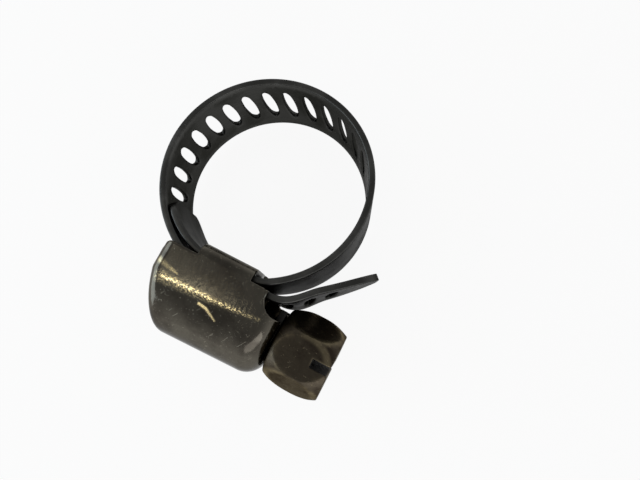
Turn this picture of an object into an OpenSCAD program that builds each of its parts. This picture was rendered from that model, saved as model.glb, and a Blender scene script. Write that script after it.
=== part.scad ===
// Worm-drive tube clamp. One perforated steel strip is bent into a ring, a pressed
// steel housing is clinched over its two overlapping ends, and a slotted hex-head worm
// screw in the housing draws the slotted end through.
// The ring axis is Z and the strip is centred on z = 0. The housing is on the -Y side,
// and the screw lies along X with its head towards +X. All sizes are in millimetres.

/* [Band] */
// Inside diameter of the ring as it lies open
ring_d = 18.2; // [15:0.1:24]
// Width of the strip, along the ring axis
band_w = 8; // [7:0.1:10]
// Thickness of the strip
band_t = 0.6; // [0.4:0.05:0.8]
// Gap between the two layers of strip under the worm
layer_gap = 0.05; // [0.03:0.01:0.15]
// How far the flat under the housing lies inside the tongue's circle
flat_rise = 0.25; // [0.1:0.05:0.5]
// Middle radius of the bends at both ends of that flat
bend_r = 2; // [1:0.1:3]
// Length of the fixed end's tongue, inside the slotted end
tongue_len = 5.8; // [4:0.1:8]
// Corner radius at the end of the tongue
tongue_corner_r = 1.6; // [0.3:0.1:2.2]

/* [Slotted end] */
// Angle round the ring at which the slotted end starts to open out
lead_at = 200; // [190:1:210]
// How much larger than the ring's the radius of that opening stretch is
lead_open = 1; // [0.5:0.1:3]
// Middle radius of the bend in the housing's mouth
mouth_r = 3; // [2:0.1:4]
// How far inside the front wall the bend starts that turns the tail up
tail_back = 1.2; // [0.6:0.1:2]
// Middle radius of that bend
tail_bend_r = 3; // [2:0.1:5]
// Angle of the same bend
tail_bend = 39; // [30:1:45]
// Middle radius of the nearly straight tail
tail_r = 60; // [20:1:200]
// Length of the tail past its bend
tail_len = 7.6; // [4:0.1:12]
// Corner radius of the tail's tip
tip_corner_r = 2.4; // [1:0.1:3.4]

/* [Slots] */
// Distance from slot to slot, which is also the worm's lead
slot_pitch = 2.08; // [1.9:0.02:2.4]
// Length of a slot, across the strip
slot_len = 4.7; // [4:0.1:5]
// Width of a slot, along the strip
slot_w = 1.1; // [1:0.05:1.4]
// Number of slots
slot_count = 24; // [14:1:25]
// Plain length at the tail's tip
tip_plain = 3.5; // [2.6:0.1:5]

/* [Housing] */
// Thickness of the housing's sheet
wall = 0.6; // [0.4:0.05:0.75]
// Gap between the strip's edges and the side walls
side_gap = 0.05; // [0.03:0.01:0.2]
// Distance of the front end from the ring axis
front_x = 7.15; // [6.6:0.05:8]
// Distance of the back end from the ring axis, at the mouth
back_x = 5.1; // [4.9:0.1:7]
// Slope of the closed back end
back_slope = 20; // [12:1:28]
// Height above the screw axis at which that slope starts
slope_up = 0.7; // [0.3:0.1:1.6]
// Outside edge radius at the front
front_edge_r = 2; // [1:0.1:2.2]
// Outside edge radius at the back
back_edge_r = 0.8; // [0.8:0.1:1.4]
// Gap between the worm and the inside of the dome, at the front
dome_gap = 0.2; // [0.15:0.05:0.5]
// How much higher the dome stands at the back
back_rise = 0.3; // [0:0.05:0.6]
// Gap between the strip and the lips of the mouths
mouth_gap = 0.2; // [0.1:0.05:0.4]
// How far the front's rounded edges are cut down below those lips, beside the front wall
front_drop = 1.05; // [0.2:0.05:1.2]
// How far behind the front end the side walls stop, above that cut
front_set = 1.95; // [1.7:0.05:2.4]
// Corner radius between those two edges
front_cut_r = 1.5; // [0.3:0.1:1.6]
// Length of each folded tab
tab_len = 5.2; // [4:0.1:5.4]
// Outside radius of the fold between a side wall and its tab
fold_r = 1.1; // [0.6:0.05:1.2]
// Gap between the two tabs, under the middle of the strip
tab_split = 1.2; // [0.6:0.1:3]
// How far the side walls stop short of the fixed layer's middle, beside the tabs
skirt = 0.3; // [0:0.05:0.4]
// Corner radius of the side walls at the back mouth
skirt_corner_r = 0.8; // [0.3:0.1:1.2]
// Width of the slot that joins the neck's hole to the front mouth
neck_slot_w = 3.4; // [3:0.1:4]

/* [Screw] */
// Crest diameter of the worm
worm_d = 6.4; // [6:0.1:7]
// Gap between the worm's root and the strip
root_gap = 0.15; // [0.1:0.01:0.3]
// Gap between the worm's crest and the fixed layer's side of the slotted layer
crest_gap = 0.15; // [0.08:0.01:0.25]
// Gap between the thread's flanks and the slots
mesh_gap = 0.15; // [0.08:0.01:0.2]
// Slope of the thread's flanks
flank = 20; // [12:1:25]
// Where a thread crest stands in a slot, from the ring axis
mesh_x = 0.2; // [-1:0.05:1]
// Diameter of the neck in the front wall
neck_d = 4.6; // [4:0.1:5]
// Radial clearance of the neck in the front wall
neck_gap = 0.08; // [0.02:0.01:0.1]
// End play of the screw on each side of the front wall
end_play = 0.15; // [0.1:0.05:0.3]
// Chamfer of the worm's core behind the front wall
core_chamfer = 0.4; // [0.2:0.1:0.6]
// Size of the hex across its flats
hex_af = 6.4; // [5.5:0.1:7]
// Length of the head
head_len = 5.35; // [4:0.05:7]
// Profile radius of the barrel that rounds the hex at both ends
barrel_r = 5.9; // [5:0.1:12]
// Turn of the head, and of its driver slot, as the screw lies
head_turn = 5; // [-30:1:30]
// Width of the driver slot
driver_w = 0.8; // [0.6:0.1:1.4]
// Depth of the driver slot
driver_depth = 1.7; // [1:0.1:2.5]
// Length of the plain tip past the thread
pilot_len = 0.8; // [0.4:0.1:1]
// Gap between that tip and the closed back end
tip_gap = 0.3; // [0.2:0.05:0.6]

/* [Hidden] */
$fn = 96;

// Spare length of every cut, past the face that it opens
cut_over = 1;

// Middle radii of the ring and of the tongue inside it
ring_m = ring_d / 2 + band_t / 2;
tongue_m = ring_m - band_t - layer_gap;

// Heights of the fixed layer and of the slotted layer under the worm
fixed_y = -(tongue_m - flat_rise);
run_y = fixed_y - band_t - layer_gap;
run_top = run_y - band_t / 2;

// Bends between the flat and the two circles that it joins
bend_drop = -fixed_y - bend_r;
flat_left = sqrt(pow(tongue_m - bend_r, 2) - pow(bend_drop, 2));
flat_right = sqrt(pow(ring_m - bend_r, 2) - pow(bend_drop, 2));
left_turn = atan2(flat_left, bend_drop);
right_turn = atan2(flat_right, bend_drop);
tongue_turn = degrees_of(tongue_len, tongue_m);
ring_turn = lead_at + 90 - right_turn;

// Stretch from the ring to the mouth, solved so that it ends level with the run
lead_r = ring_m + lead_open;
lead_heading = lead_at + 90;
lead_drop = run_y - ring_m * sin(lead_at);
mouth_cos = (lead_r * cos(lead_heading) - mouth_r - lead_drop) / (lead_r - mouth_r);
mouth_turn = acos(mouth_cos);
lead_turn = 360 - lead_heading - mouth_turn;
run_x = ring_m * cos(lead_at) - lead_r * (sin(mouth_turn) + sin(lead_heading))
    + mouth_r * sin(mouth_turn);

// The strip rises once it is past the housing's cavity
tail_x = front_x - wall - tail_back;

// Start of the strip, at the tongue's end, as x, y and heading
tongue_heading = -left_turn - tongue_turn;
strip_start = [tongue_m * sin(tongue_heading), -tongue_m * cos(tongue_heading), tongue_heading];

// The strip from the tongue's end to the tail's tip, each stretch as length and turn
strip = [
    arc(tongue_m, tongue_turn),
    arc(bend_r, left_turn),
    [flat_left + flat_right, 0],
    arc(bend_r, right_turn),
    arc(ring_m, ring_turn),
    arc(lead_r, lead_turn),
    arc(mouth_r, mouth_turn),
    [tail_x - run_x, 0],
    arc(tail_bend_r, tail_bend),
    arc(tail_r, degrees_of(tail_len, tail_r)),
];
run_index = 7;
bend_step = 3;
strip_len = length_before(len(strip));

// Slots keep step with the thread crest that stands in one of them
mesh_s = length_before(run_index) + mesh_x - run_x;
slots_ahead = floor((strip_len - tip_plain - mesh_s) / slot_pitch);

// Worm: the thread reaches through the slotted layer, short of the fixed one
worm_r = worm_d / 2;
thread_reach = band_t - crest_gap;
root_r = worm_r - thread_reach - root_gap;
screw_y = run_top - root_gap - root_r;
slot_slant = atan(slot_pitch / (2 * PI * (worm_r - thread_reach)));
crest_half = slot_w / 2 - mesh_gap - thread_reach * tan(flank);
root_sink = 0.2;
fade_sink = 0.14;
buried_r = root_r - root_sink;
buried_half = crest_half + (worm_r - buried_r) * tan(flank);

// Housing: a vault as wide as the strip and its walls
half_w = band_w / 2 + side_gap + wall;
dome_y = screw_y - worm_r - dome_gap - wall + half_w;
slope_y = screw_y + slope_up;
mouth_y = run_top - mouth_gap;
skirt_y = fixed_y - skirt;
tab_y = fixed_y + band_t / 2;
tab_x = (flat_right - flat_left) / 2 - tab_len / 2;
open_y = tab_y + 2 * wall;
fold_out = min(fold_r, tab_y + wall - skirt_y);
arch_step = 10;

// Screw, from its tip to the end of its head
neck_r = neck_d / 2;
core_end = front_x - wall - end_play;
head_x = front_x + end_play;
neck_end = head_x + head_len / 4;
pilot_r = root_r - pilot_len / 2;
core_start = back_wall_x(pilot_r) + tip_gap + pilot_len;
thread_start = core_start + buried_half;
thread_end = core_end - core_chamfer - buried_half;
thread_sides = 28;
thread_steps = ceil((thread_end - thread_start) / slot_pitch * thread_sides);
fade_steps = thread_sides / 4;
hex_r = hex_af / 2 / cos(30);

// Angle that a length takes up on a circle
function degrees_of(length, r) = length / r * 180 / PI;

// Inside of the sloping back end, at a distance below the screw axis
function back_wall_x(below) =
    -back_x + (wall + sin(back_slope) * (below + slope_up)) / cos(back_slope);

// A stretch of strip bent to a radius
function arc(r, turn) = [r * turn * PI / 180, turn];

// Length of strip before a stretch
function length_before(i) = i == 0 ? 0 : length_before(i - 1) + strip[i - 1][0];

// Place and heading after a length of one stretch
function moved(pose, stretch, length) =
    let (turn = stretch[1] * length / stretch[0])
    let (h = pose[2])
    turn == 0
        ? [pose[0] + length * cos(h), pose[1] + length * sin(h), h]
        : let (r = length * 180 / (PI * turn))
          [pose[0] + r * (sin(h + turn) - sin(h)), pose[1] - r * (cos(h + turn) - cos(h)), h + turn];

// Place and heading at the start of a stretch
function stretch_pose(i) =
    i == 0 ? strip_start : moved(stretch_pose(i - 1), strip[i - 1], strip[i - 1][0]);

// Place and heading at a distance along the strip
function strip_pose(s, i = 0) =
    s <= strip[i][0] || i == len(strip) - 1
        ? moved(stretch_pose(i), strip[i], s)
        : strip_pose(s - strip[i][0], i + 1);

// Point on the inside (1) or the outside (-1) of the strip
function strip_side(pose, side) =
    [pose[0], pose[1]] + side * band_t / 2 * [-sin(pose[2]), cos(pose[2])];

// Bend of the strip at a distance along it, as one over its radius
function curvature(s, i = 0) =
    s <= strip[i][0] || i == len(strip) - 1
        ? strip[i][1] * PI / 180 / strip[i][0]
        : curvature(s - strip[i][0], i + 1);

// Depth of a slot's column inside the strip's middle, short of the layer beyond
function slot_depth(s) =
    let (bend = max(curvature(s - slot_w), curvature(s), curvature(s + slot_w)))
    band_t / 2 + layer_gap / 2 + bend * slot_w * slot_w / 4;

// Turns and moves its children to a place on the strip
module at_pose(pose) {
    translate([pose[0], pose[1], 0])
        rotate(pose[2])
            children();
}

// Edge view of the whole strip, stepped along its bends
module strip_outline() {
    poses = [
        strip_start,
        for (i = [0 : len(strip) - 1])
            let (steps = max(1, ceil(strip[i][1] / bend_step)))
            for (k = [1 : steps])
                moved(stretch_pose(i), strip[i], strip[i][0] * k / steps)
    ];
    last = len(poses) - 1;
    polygon([
        for (k = [0 : last]) strip_side(poses[k], 1),
        for (k = [0 : last]) strip_side(poses[last - k], -1),
    ]);
}

// A slot's column, slanted at the thread's lead angle, open to the outside of the strip
module slot_column(depth_in) {
    straight = slot_len - slot_w;
    translate([0, depth_in, 0])
        rotate([90, 0, 0])
            linear_extrude(depth_in + band_t / 2 + cut_over / 2)
                rotate(-slot_slant) {
                    square([slot_w, straight], center = true);
                    for (end = [-1, 1])
                        translate([0, end * straight / 2])
                            circle(d = slot_w, $fn = 32);
                }
}

// Takes the corners off an end of the strip that faces +X, down to a depth outside its middle
module corner_cut(r, depth_out) {
    for (side = [-1, 1])
        translate([0, band_t, 0])
            rotate([90, 0, 0])
                linear_extrude(band_t + depth_out)
                    difference() {
                        translate([-r, side * band_w / 2 - r])
                            square([r + cut_over, 2 * r]);
                        translate([-r, side * (band_w / 2 - r)])
                            circle(r);
                        translate([-r, side * (band_w / 2 - r) - (side > 0 ? r : 0)])
                            square([r + cut_over, r]);
                    }
}

// The strip: tongue, flat, ring, slotted end and tail
module band() {
    color([0.30, 0.30, 0.30])
        difference() {
            linear_extrude(band_w, center = true)
                strip_outline();
            for (k = [slots_ahead - slot_count + 1 : slots_ahead]) {
                s = mesh_s + k * slot_pitch;
                at_pose(strip_pose(s))
                    slot_column(slot_depth(s));
            }
            at_pose(stretch_pose(len(strip)))
                corner_cut(tip_corner_r, band_t);
            at_pose(strip_pose(tongue_corner_r / 2))
                translate([-tongue_corner_r / 2, 0, 0])
                    mirror([1, 0, 0])
                        corner_cut(tongue_corner_r, (band_t + layer_gap) / 2);
        }
}

// A ball whose facets just reach its radius along the axes
module edge_ball(r) {
    sides = 24;
    sphere(r / cos(180 / sides), $fn = sides);
}

// Centre line of the back edge, which leans back below the slope's start
function back_edge_x(y) =
    let (lean = (back_edge_r - sin(back_slope) * (y - slope_y)) / cos(back_slope))
    -back_x + max(back_edge_r, lean);

// The housing's vault with rounded ends, drawn in by an inset on every side
module vault(inset) {
    front_in = half_w - front_edge_r;
    back_in = half_w - back_edge_r;
    knee_y = slope_y + back_edge_r * tan(back_slope / 2);
    back_dome_y = dome_y - back_rise;
    hull() {
        for (a = [0 : arch_step : 180]) {
            translate([front_x - front_edge_r, dome_y - front_in * sin(a), front_in * cos(a)])
                edge_ball(front_edge_r - inset);
            back_y = back_dome_y - back_in * sin(a);
            translate([back_edge_x(back_y), back_y, back_in * cos(a)])
                edge_ball(back_edge_r - inset);
        }
        for (side = [-1, 1]) {
            translate([front_x - front_edge_r, open_y, side * front_in])
                edge_ball(front_edge_r - inset);
            for (y = [knee_y, open_y])
                translate([back_edge_x(y), y, side * back_in])
                    edge_ball(back_edge_r - inset);
        }
    }
}

// Takes the corners off the side walls at the back mouth
module skirt_corner_cut() {
    linear_extrude(4 * half_w, center = true)
        difference() {
            translate([-cut_over, -skirt_corner_r])
                square([cut_over + skirt_corner_r, skirt_corner_r + cut_over]);
            translate([skirt_corner_r, -skirt_corner_r])
                circle(skirt_corner_r);
        }
}

// Opens the front mouth on the +Z side: sets the side wall back and cuts the rounded edge down
module front_cut() {
    reach = front_set + 2 * cut_over;
    translate([front_x - front_set, mouth_y - front_drop, half_w - front_edge_r])
        linear_extrude(2 * half_w)
            polygon([
                [0, 2 * half_w],
                for (a = [180 : arch_step : 270]) front_cut_r * [1 + cos(a), 1 + sin(a)],
                [reach, 0],
                [reach, 2 * half_w],
            ]);
}

// A tab of the +Z side wall, folded in under the fixed layer, drawn in its section
module tab() {
    fold_z = half_w - wall;
    start_y = skirt_y - wall;
    end_z = tab_split / 2;
    translate([tab_x, 0, 0])
        rotate([90, 0, 90])
            linear_extrude(tab_len)
                difference() {
                    translate([start_y, end_z])
                        square([tab_y + wall - start_y, half_w - end_z]);
                    translate([start_y - cut_over, end_z - cut_over])
                        square([tab_y - start_y + cut_over, fold_z - end_z + cut_over]);
                    translate([tab_y + wall - fold_out, half_w - fold_out])
                        difference() {
                            square(fold_out + cut_over);
                            circle(fold_out);
                        }
                }
}

// The vault with its mouths and the neck's hole, before the front is cut back
module shell() {
    inner_z = band_w / 2 + side_gap;
    difference() {
        vault(0);
        vault(wall);
        translate([-2 * back_x, skirt_y, -2 * half_w])
            cube([2 * back_x + 2 * front_x, 4 * half_w, 4 * half_w]);
        translate([-2 * back_x, mouth_y, -inner_z])
            cube([2 * back_x + 2 * front_x, half_w, 2 * inner_z]);
        translate([-back_x, skirt_y, 0])
            skirt_corner_cut();
        translate([front_x - front_edge_r, screw_y, -neck_slot_w / 2])
            cube([front_edge_r + cut_over, mouth_y - screw_y + cut_over, neck_slot_w]);
        translate([front_x - front_edge_r, screw_y, 0])
            rotate([0, 90, 0])
                cylinder(r = neck_r + neck_gap, h = front_edge_r + cut_over);
    }
}

// The pressed housing: shell, cut-back front and two folded tabs
module housing() {
    color([0.42, 0.39, 0.35])
        union() {
            difference() {
                shell();
                front_cut();
                mirror([0, 0, 1])
                    front_cut();
            }
            tab();
            mirror([0, 0, 1])
                tab();
        }
}

// Point of the thread's section at a step: along the axis and out from it
function thread_point(i, along, r) =
    let (x = thread_start + (thread_end - thread_start) * i / thread_steps)
    let (a = (x - mesh_x) / slot_pitch * 360)
    [x + along, r * cos(a), r * sin(a)];

// Crest radius at a step, fading in and out at the two ends
function crest_at(i) =
    let (fade = min(1, i / fade_steps, (thread_steps - i) / fade_steps))
    root_r - fade_sink + (worm_r - root_r + fade_sink) * fade;

// Right-hand worm thread, wound about the X axis
module thread() {
    rings = [
        for (i = [0 : thread_steps])
            each [
                thread_point(i, -buried_half, buried_r),
                thread_point(i, -crest_half, crest_at(i)),
                thread_point(i, crest_half, crest_at(i)),
                thread_point(i, buried_half, buried_r),
            ]
    ];
    last = 4 * thread_steps;
    walls = [
        for (i = [0 : thread_steps - 1], j = [0 : 3])
            let (k = (j + 1) % 4)
            each [
                [4 * i + j, 4 * i + 4 + k, 4 * i + 4 + j],
                [4 * i + j, 4 * i + k, 4 * i + 4 + k],
            ]
    ];
    ends = [[3, 2, 1, 0], [last, last + 1, last + 2, last + 3]];
    polyhedron(points = rings, faces = concat(walls, ends), convexity = 8);
}

// Hex head rounded at both ends, with its driver slot
module head() {
    difference() {
        intersection() {
            rotate(30)
                cylinder(r = hex_r, h = head_len, $fn = 6);
            rotate_extrude()
                intersection() {
                    translate([hex_r - barrel_r, head_len / 2])
                        circle(barrel_r);
                    square([hex_r + cut_over, head_len]);
                }
        }
        translate([0, 0, head_len])
            cube([2 * hex_r + cut_over, driver_w, 2 * driver_depth], center = true);
    }
}

// The screw: tapered tip, worm, neck and head in one piece
module worm_screw() {
    color([0.38, 0.33, 0.28])
        translate([0, screw_y, 0])
            union() {
                thread();
                rotate([0, 90, 0]) {
                    rotate_extrude()
                        polygon([
                            [0, core_start - pilot_len],
                            [pilot_r, core_start - pilot_len],
                            [root_r, core_start],
                            [root_r, core_end - core_chamfer],
                            [(root_r + neck_r) / 2, core_end],
                            [neck_r, core_end],
                            [neck_r, neck_end],
                            [0, neck_end],
                        ]);
                    translate([0, 0, head_x])
                        rotate(head_turn)
                            head();
                }
            }
}

band();
housing();
worm_screw();
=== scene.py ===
"""Dressed model of a small worm-drive tube clamp, laid on a white table.

A perforated steel strip is bent into a ring, a pressed housing is clinched over its two
ends, and a slotted hex-head worm screw draws the slotted end through. Sizes are in
millimetres and become metres where a mesh is made. The ring axis is Z, the screw lies
along X with its head towards +X, and the housing is on the -Y side.
"""

import logging
import math
from dataclasses import dataclass, field
from enum import Enum
from typing import Any, Iterable, Mapping, Optional, Sequence, Union

import bmesh
import bpy
from mathutils import Matrix, Vector


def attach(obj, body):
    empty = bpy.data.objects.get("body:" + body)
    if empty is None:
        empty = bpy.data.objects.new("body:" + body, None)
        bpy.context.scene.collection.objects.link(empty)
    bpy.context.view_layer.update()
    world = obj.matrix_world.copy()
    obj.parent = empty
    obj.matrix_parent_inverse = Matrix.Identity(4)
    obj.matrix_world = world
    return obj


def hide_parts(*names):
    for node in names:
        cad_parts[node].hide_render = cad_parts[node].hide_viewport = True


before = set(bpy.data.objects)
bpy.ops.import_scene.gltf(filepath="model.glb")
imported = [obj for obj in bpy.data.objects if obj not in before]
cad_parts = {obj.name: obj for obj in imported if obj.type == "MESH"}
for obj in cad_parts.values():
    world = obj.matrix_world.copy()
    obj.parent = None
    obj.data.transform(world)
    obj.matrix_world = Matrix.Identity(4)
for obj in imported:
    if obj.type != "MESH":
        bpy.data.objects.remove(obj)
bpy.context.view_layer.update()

LOG = logging.getLogger("tube_clamp")
MM = 0.001

Triple = tuple[float, float, float]
Colour = Triple
Point = Triple
Pair = tuple[float, float]
Number = Union[float, "Value"]
Socket = bpy.types.NodeSocket
Material = bpy.types.Material
Mesh = bpy.types.Mesh


class Body(str, Enum):
    """The bodies of the frame that a piece can ride on."""

    CLAMP = "clamp"
    SCREW = "screw"


class Slot(str, Enum):
    """The record's material slots."""

    BAND = "band_steel"
    HOUSING = "housing_steel"
    SCREW = "screw_steel"


class Pattern(str, Enum):
    """Where a finish takes its pattern's coordinates from."""

    OBJECT = "object"
    STRIP = "strip"


# Nodes


class Bench:
    """Makes and links the nodes of one tree."""

    def __init__(self, tree: bpy.types.NodeTree) -> None:
        """Keeps the tree that the nodes go into."""
        self.tree = tree

    @classmethod
    def cleared(cls, owner: bpy.types.ID) -> "Bench":
        """Starts on the emptied tree of a material or a world."""
        owner.use_nodes = True
        owner.node_tree.nodes.clear()
        return cls(owner.node_tree)

    def node(
        self,
        kind: str,
        settings: Optional[Mapping[str, Any]] = None,
        inputs: Optional[Mapping[Union[str, int], Any]] = None,
    ) -> bpy.types.Node:
        """Adds a node, sets it up and feeds its sockets.

        Args:
            kind: The node's type name.
            settings: Properties, set before any socket.
            inputs: Socket name or index to a plain value, a Value or a socket.

        Returns:
            The new node.
        """
        made = self.tree.nodes.new(kind)
        for name, value in (settings or {}).items():
            setattr(made, name, value)
        for key, value in (inputs or {}).items():
            self.feed(self.socket(made, key), value)
        return made

    @staticmethod
    def socket(node: bpy.types.Node, key: Union[str, int]) -> Socket:
        """Finds the input of a node that is in use under a name or an index."""
        if isinstance(key, int):
            return node.inputs[key]
        return next(s for s in node.inputs if s.name == key and s.enabled)

    def feed(self, socket: Socket, value: Any) -> None:
        """Links a socket to another one, or sets its own value.

        Args:
            socket: The input to feed.
            value: A Value, an output socket or a plain value.
        """
        if isinstance(value, Value):
            self.tree.links.new(value.socket, socket)
        elif isinstance(value, Socket):
            self.tree.links.new(value, socket)
        else:
            socket.default_value = value

    @staticmethod
    def out(node: bpy.types.Node, name: Optional[str] = None) -> Socket:
        """Finds the output of a node that is in use, the first one or the one with a name."""
        return next(s for s in node.outputs if s.enabled and name in (None, s.name))

    def value(self, node: bpy.types.Node, name: Optional[str] = None) -> "Value":
        """Wraps an output of a node for sums."""
        return Value(self, self.out(node, name))

    def attribute(self, name: str, part: str) -> Socket:
        """Reads a part of a mesh attribute."""
        return self.out(self.node("ShaderNodeAttribute", {"attribute_name": name}), part)

    def split(self, vector: Socket) -> tuple["Value", "Value", "Value"]:
        """Takes a vector apart into its three values."""
        parts = self.node("ShaderNodeSeparateXYZ", None, {0: vector})
        return tuple(Value(self, parts.outputs[i]) for i in range(3))

    def join(self, x: Any, y: Any, z: Any) -> Socket:
        """Puts three values together into a vector."""
        return self.out(self.node("ShaderNodeCombineXYZ", None, {0: x, 1: y, 2: z}))

    def vector_math(self, operation: str, a: Any, b: Any) -> Socket:
        """Works out a sum on two vectors."""
        return self.out(self.node("ShaderNodeVectorMath", {"operation": operation}, {0: a, 1: b}))

    def mix_colour(self, factor: Any, a: Any, b: Any) -> Socket:
        """Mixes two colours.

        Args:
            factor: How much of the second colour.
            a: The first colour, as three numbers or a socket.
            b: The second colour, as three numbers or a socket.

        Returns:
            The mixed colour's socket.
        """
        ends = [(*c, 1.0) if isinstance(c, tuple) else c for c in (a, b)]
        settings = {"data_type": "RGBA", "blend_type": "MIX", "clamp_factor": True}
        mixed = self.node("ShaderNodeMix", settings, {"Factor": factor, "A": ends[0], "B": ends[1]})
        return self.out(mixed, "Result")


class Value:
    """A number in a node tree, on which plain sums can be written."""

    def __init__(self, bench: Bench, socket: Socket) -> None:
        """Keeps the socket and the bench that adds nodes after it."""
        self.bench = bench
        self.socket = socket

    def _math(self, operation: str, *terms: Any) -> "Value":
        """Adds a Math node.

        Args:
            operation: The node's operation.
            terms: Its inputs in order.

        Returns:
            The result.
        """
        node = self.bench.node("ShaderNodeMath", {"operation": operation}, dict(enumerate(terms)))
        return Value(self.bench, node.outputs[0])

    def __add__(self, other: Any) -> "Value":
        """self + other."""
        return self._math("ADD", self, other)

    def __radd__(self, other: Any) -> "Value":
        """other + self."""
        return self._math("ADD", other, self)

    def __sub__(self, other: Any) -> "Value":
        """self - other."""
        return self._math("SUBTRACT", self, other)

    def __rsub__(self, other: Any) -> "Value":
        """other - self."""
        return self._math("SUBTRACT", other, self)

    def __mul__(self, other: Any) -> "Value":
        """self * other."""
        return self._math("MULTIPLY", self, other)

    def __rmul__(self, other: Any) -> "Value":
        """other * self."""
        return self._math("MULTIPLY", other, self)

    def __truediv__(self, other: Any) -> "Value":
        """self / other."""
        return self._math("DIVIDE", self, other)

    def __rtruediv__(self, other: Any) -> "Value":
        """other / self."""
        return self._math("DIVIDE", other, self)

    def __neg__(self) -> "Value":
        """-self."""
        return self._math("MULTIPLY", self, -1.0)

    def __abs__(self) -> "Value":
        """abs(self)."""
        return self._math("ABSOLUTE", self)

    def sine(self) -> "Value":
        """Sine of an angle in radians."""
        return self._math("SINE", self)

    def cosine(self) -> "Value":
        """Cosine of an angle in radians."""
        return self._math("COSINE", self)

    def root(self) -> "Value":
        """Square root."""
        return self._math("SQRT", self)

    def most(self, other: Any) -> "Value":
        """The larger of two."""
        return self._math("MAXIMUM", self, other)

    def least(self, other: Any) -> "Value":
        """The smaller of two."""
        return self._math("MINIMUM", self, other)

    def soft_most(self, other: Any, blend: Any) -> "Value":
        """The larger of two, rounded off where they are close."""
        return self._math("SMOOTH_MAX", self, other, blend)

    def step(self, low: float, high: float) -> "Value":
        """Rises smoothly from 0 at low to 1 at high."""
        settings = {"interpolation_type": "SMOOTHSTEP", "clamp": True}
        inputs = {"Value": self, "From Min": low, "From Max": high}
        return self.bench.value(self.bench.node("ShaderNodeMapRange", settings, inputs), "Result")

    def span(self, low: float, high: float) -> "Value":
        """Stretches 0 to 1 into low to high."""
        return self * (high - low) + low


# Finishes


@dataclass(frozen=True)
class Mark:
    """A line of painted highlight on a piece, or a nick worn flat and painted bright as a highlight.

    Attributes:
        start: Where it starts, in millimetres.
        end: Where it ends.
        half_width: Half its width where it starts.
        taper: Share of that width that is lost by its end.
        wear_and_highlight: How bright its painted highlight is, 0 to 1.
        broken: How far the grain breaks it up, 0 to 1.
        flat: Whether it is worn flat, level with the side walls.
    """

    start: Point
    end: Point
    half_width: float
    taper: float
    wear_and_highlight: float
    broken: float = 0.0
    flat: bool = False

    def shape(self, bench: Bench, place: Socket) -> Value:
        """Works out how much of the mark there is at a place.

        Args:
            bench: Makes the nodes.
            place: Coordinates in millimetres.

        Returns:
            1 along the mark's middle, falling to 0 at its sides.
        """
        way = Vector(self.end) - Vector(self.start)
        from_start = bench.vector_math("SUBTRACT", place, self.start)
        inputs = {0: from_start, 1: tuple(way / way.length_squared)}
        reached = bench.node("ShaderNodeVectorMath", {"operation": "DOT_PRODUCT"}, inputs)
        share = bench.value(reached, "Value").most(0.0).least(1.0)
        along = [share * part for part in way]
        aside = bench.vector_math("SUBTRACT", from_start, bench.join(*along))
        length = bench.node("ShaderNodeVectorMath", {"operation": "LENGTH"}, {0: aside})
        width = self.half_width * (1.0 - share * self.taper)
        return 1.0 - (bench.value(length, "Value") / width).step(0.0, 1.0)


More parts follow.
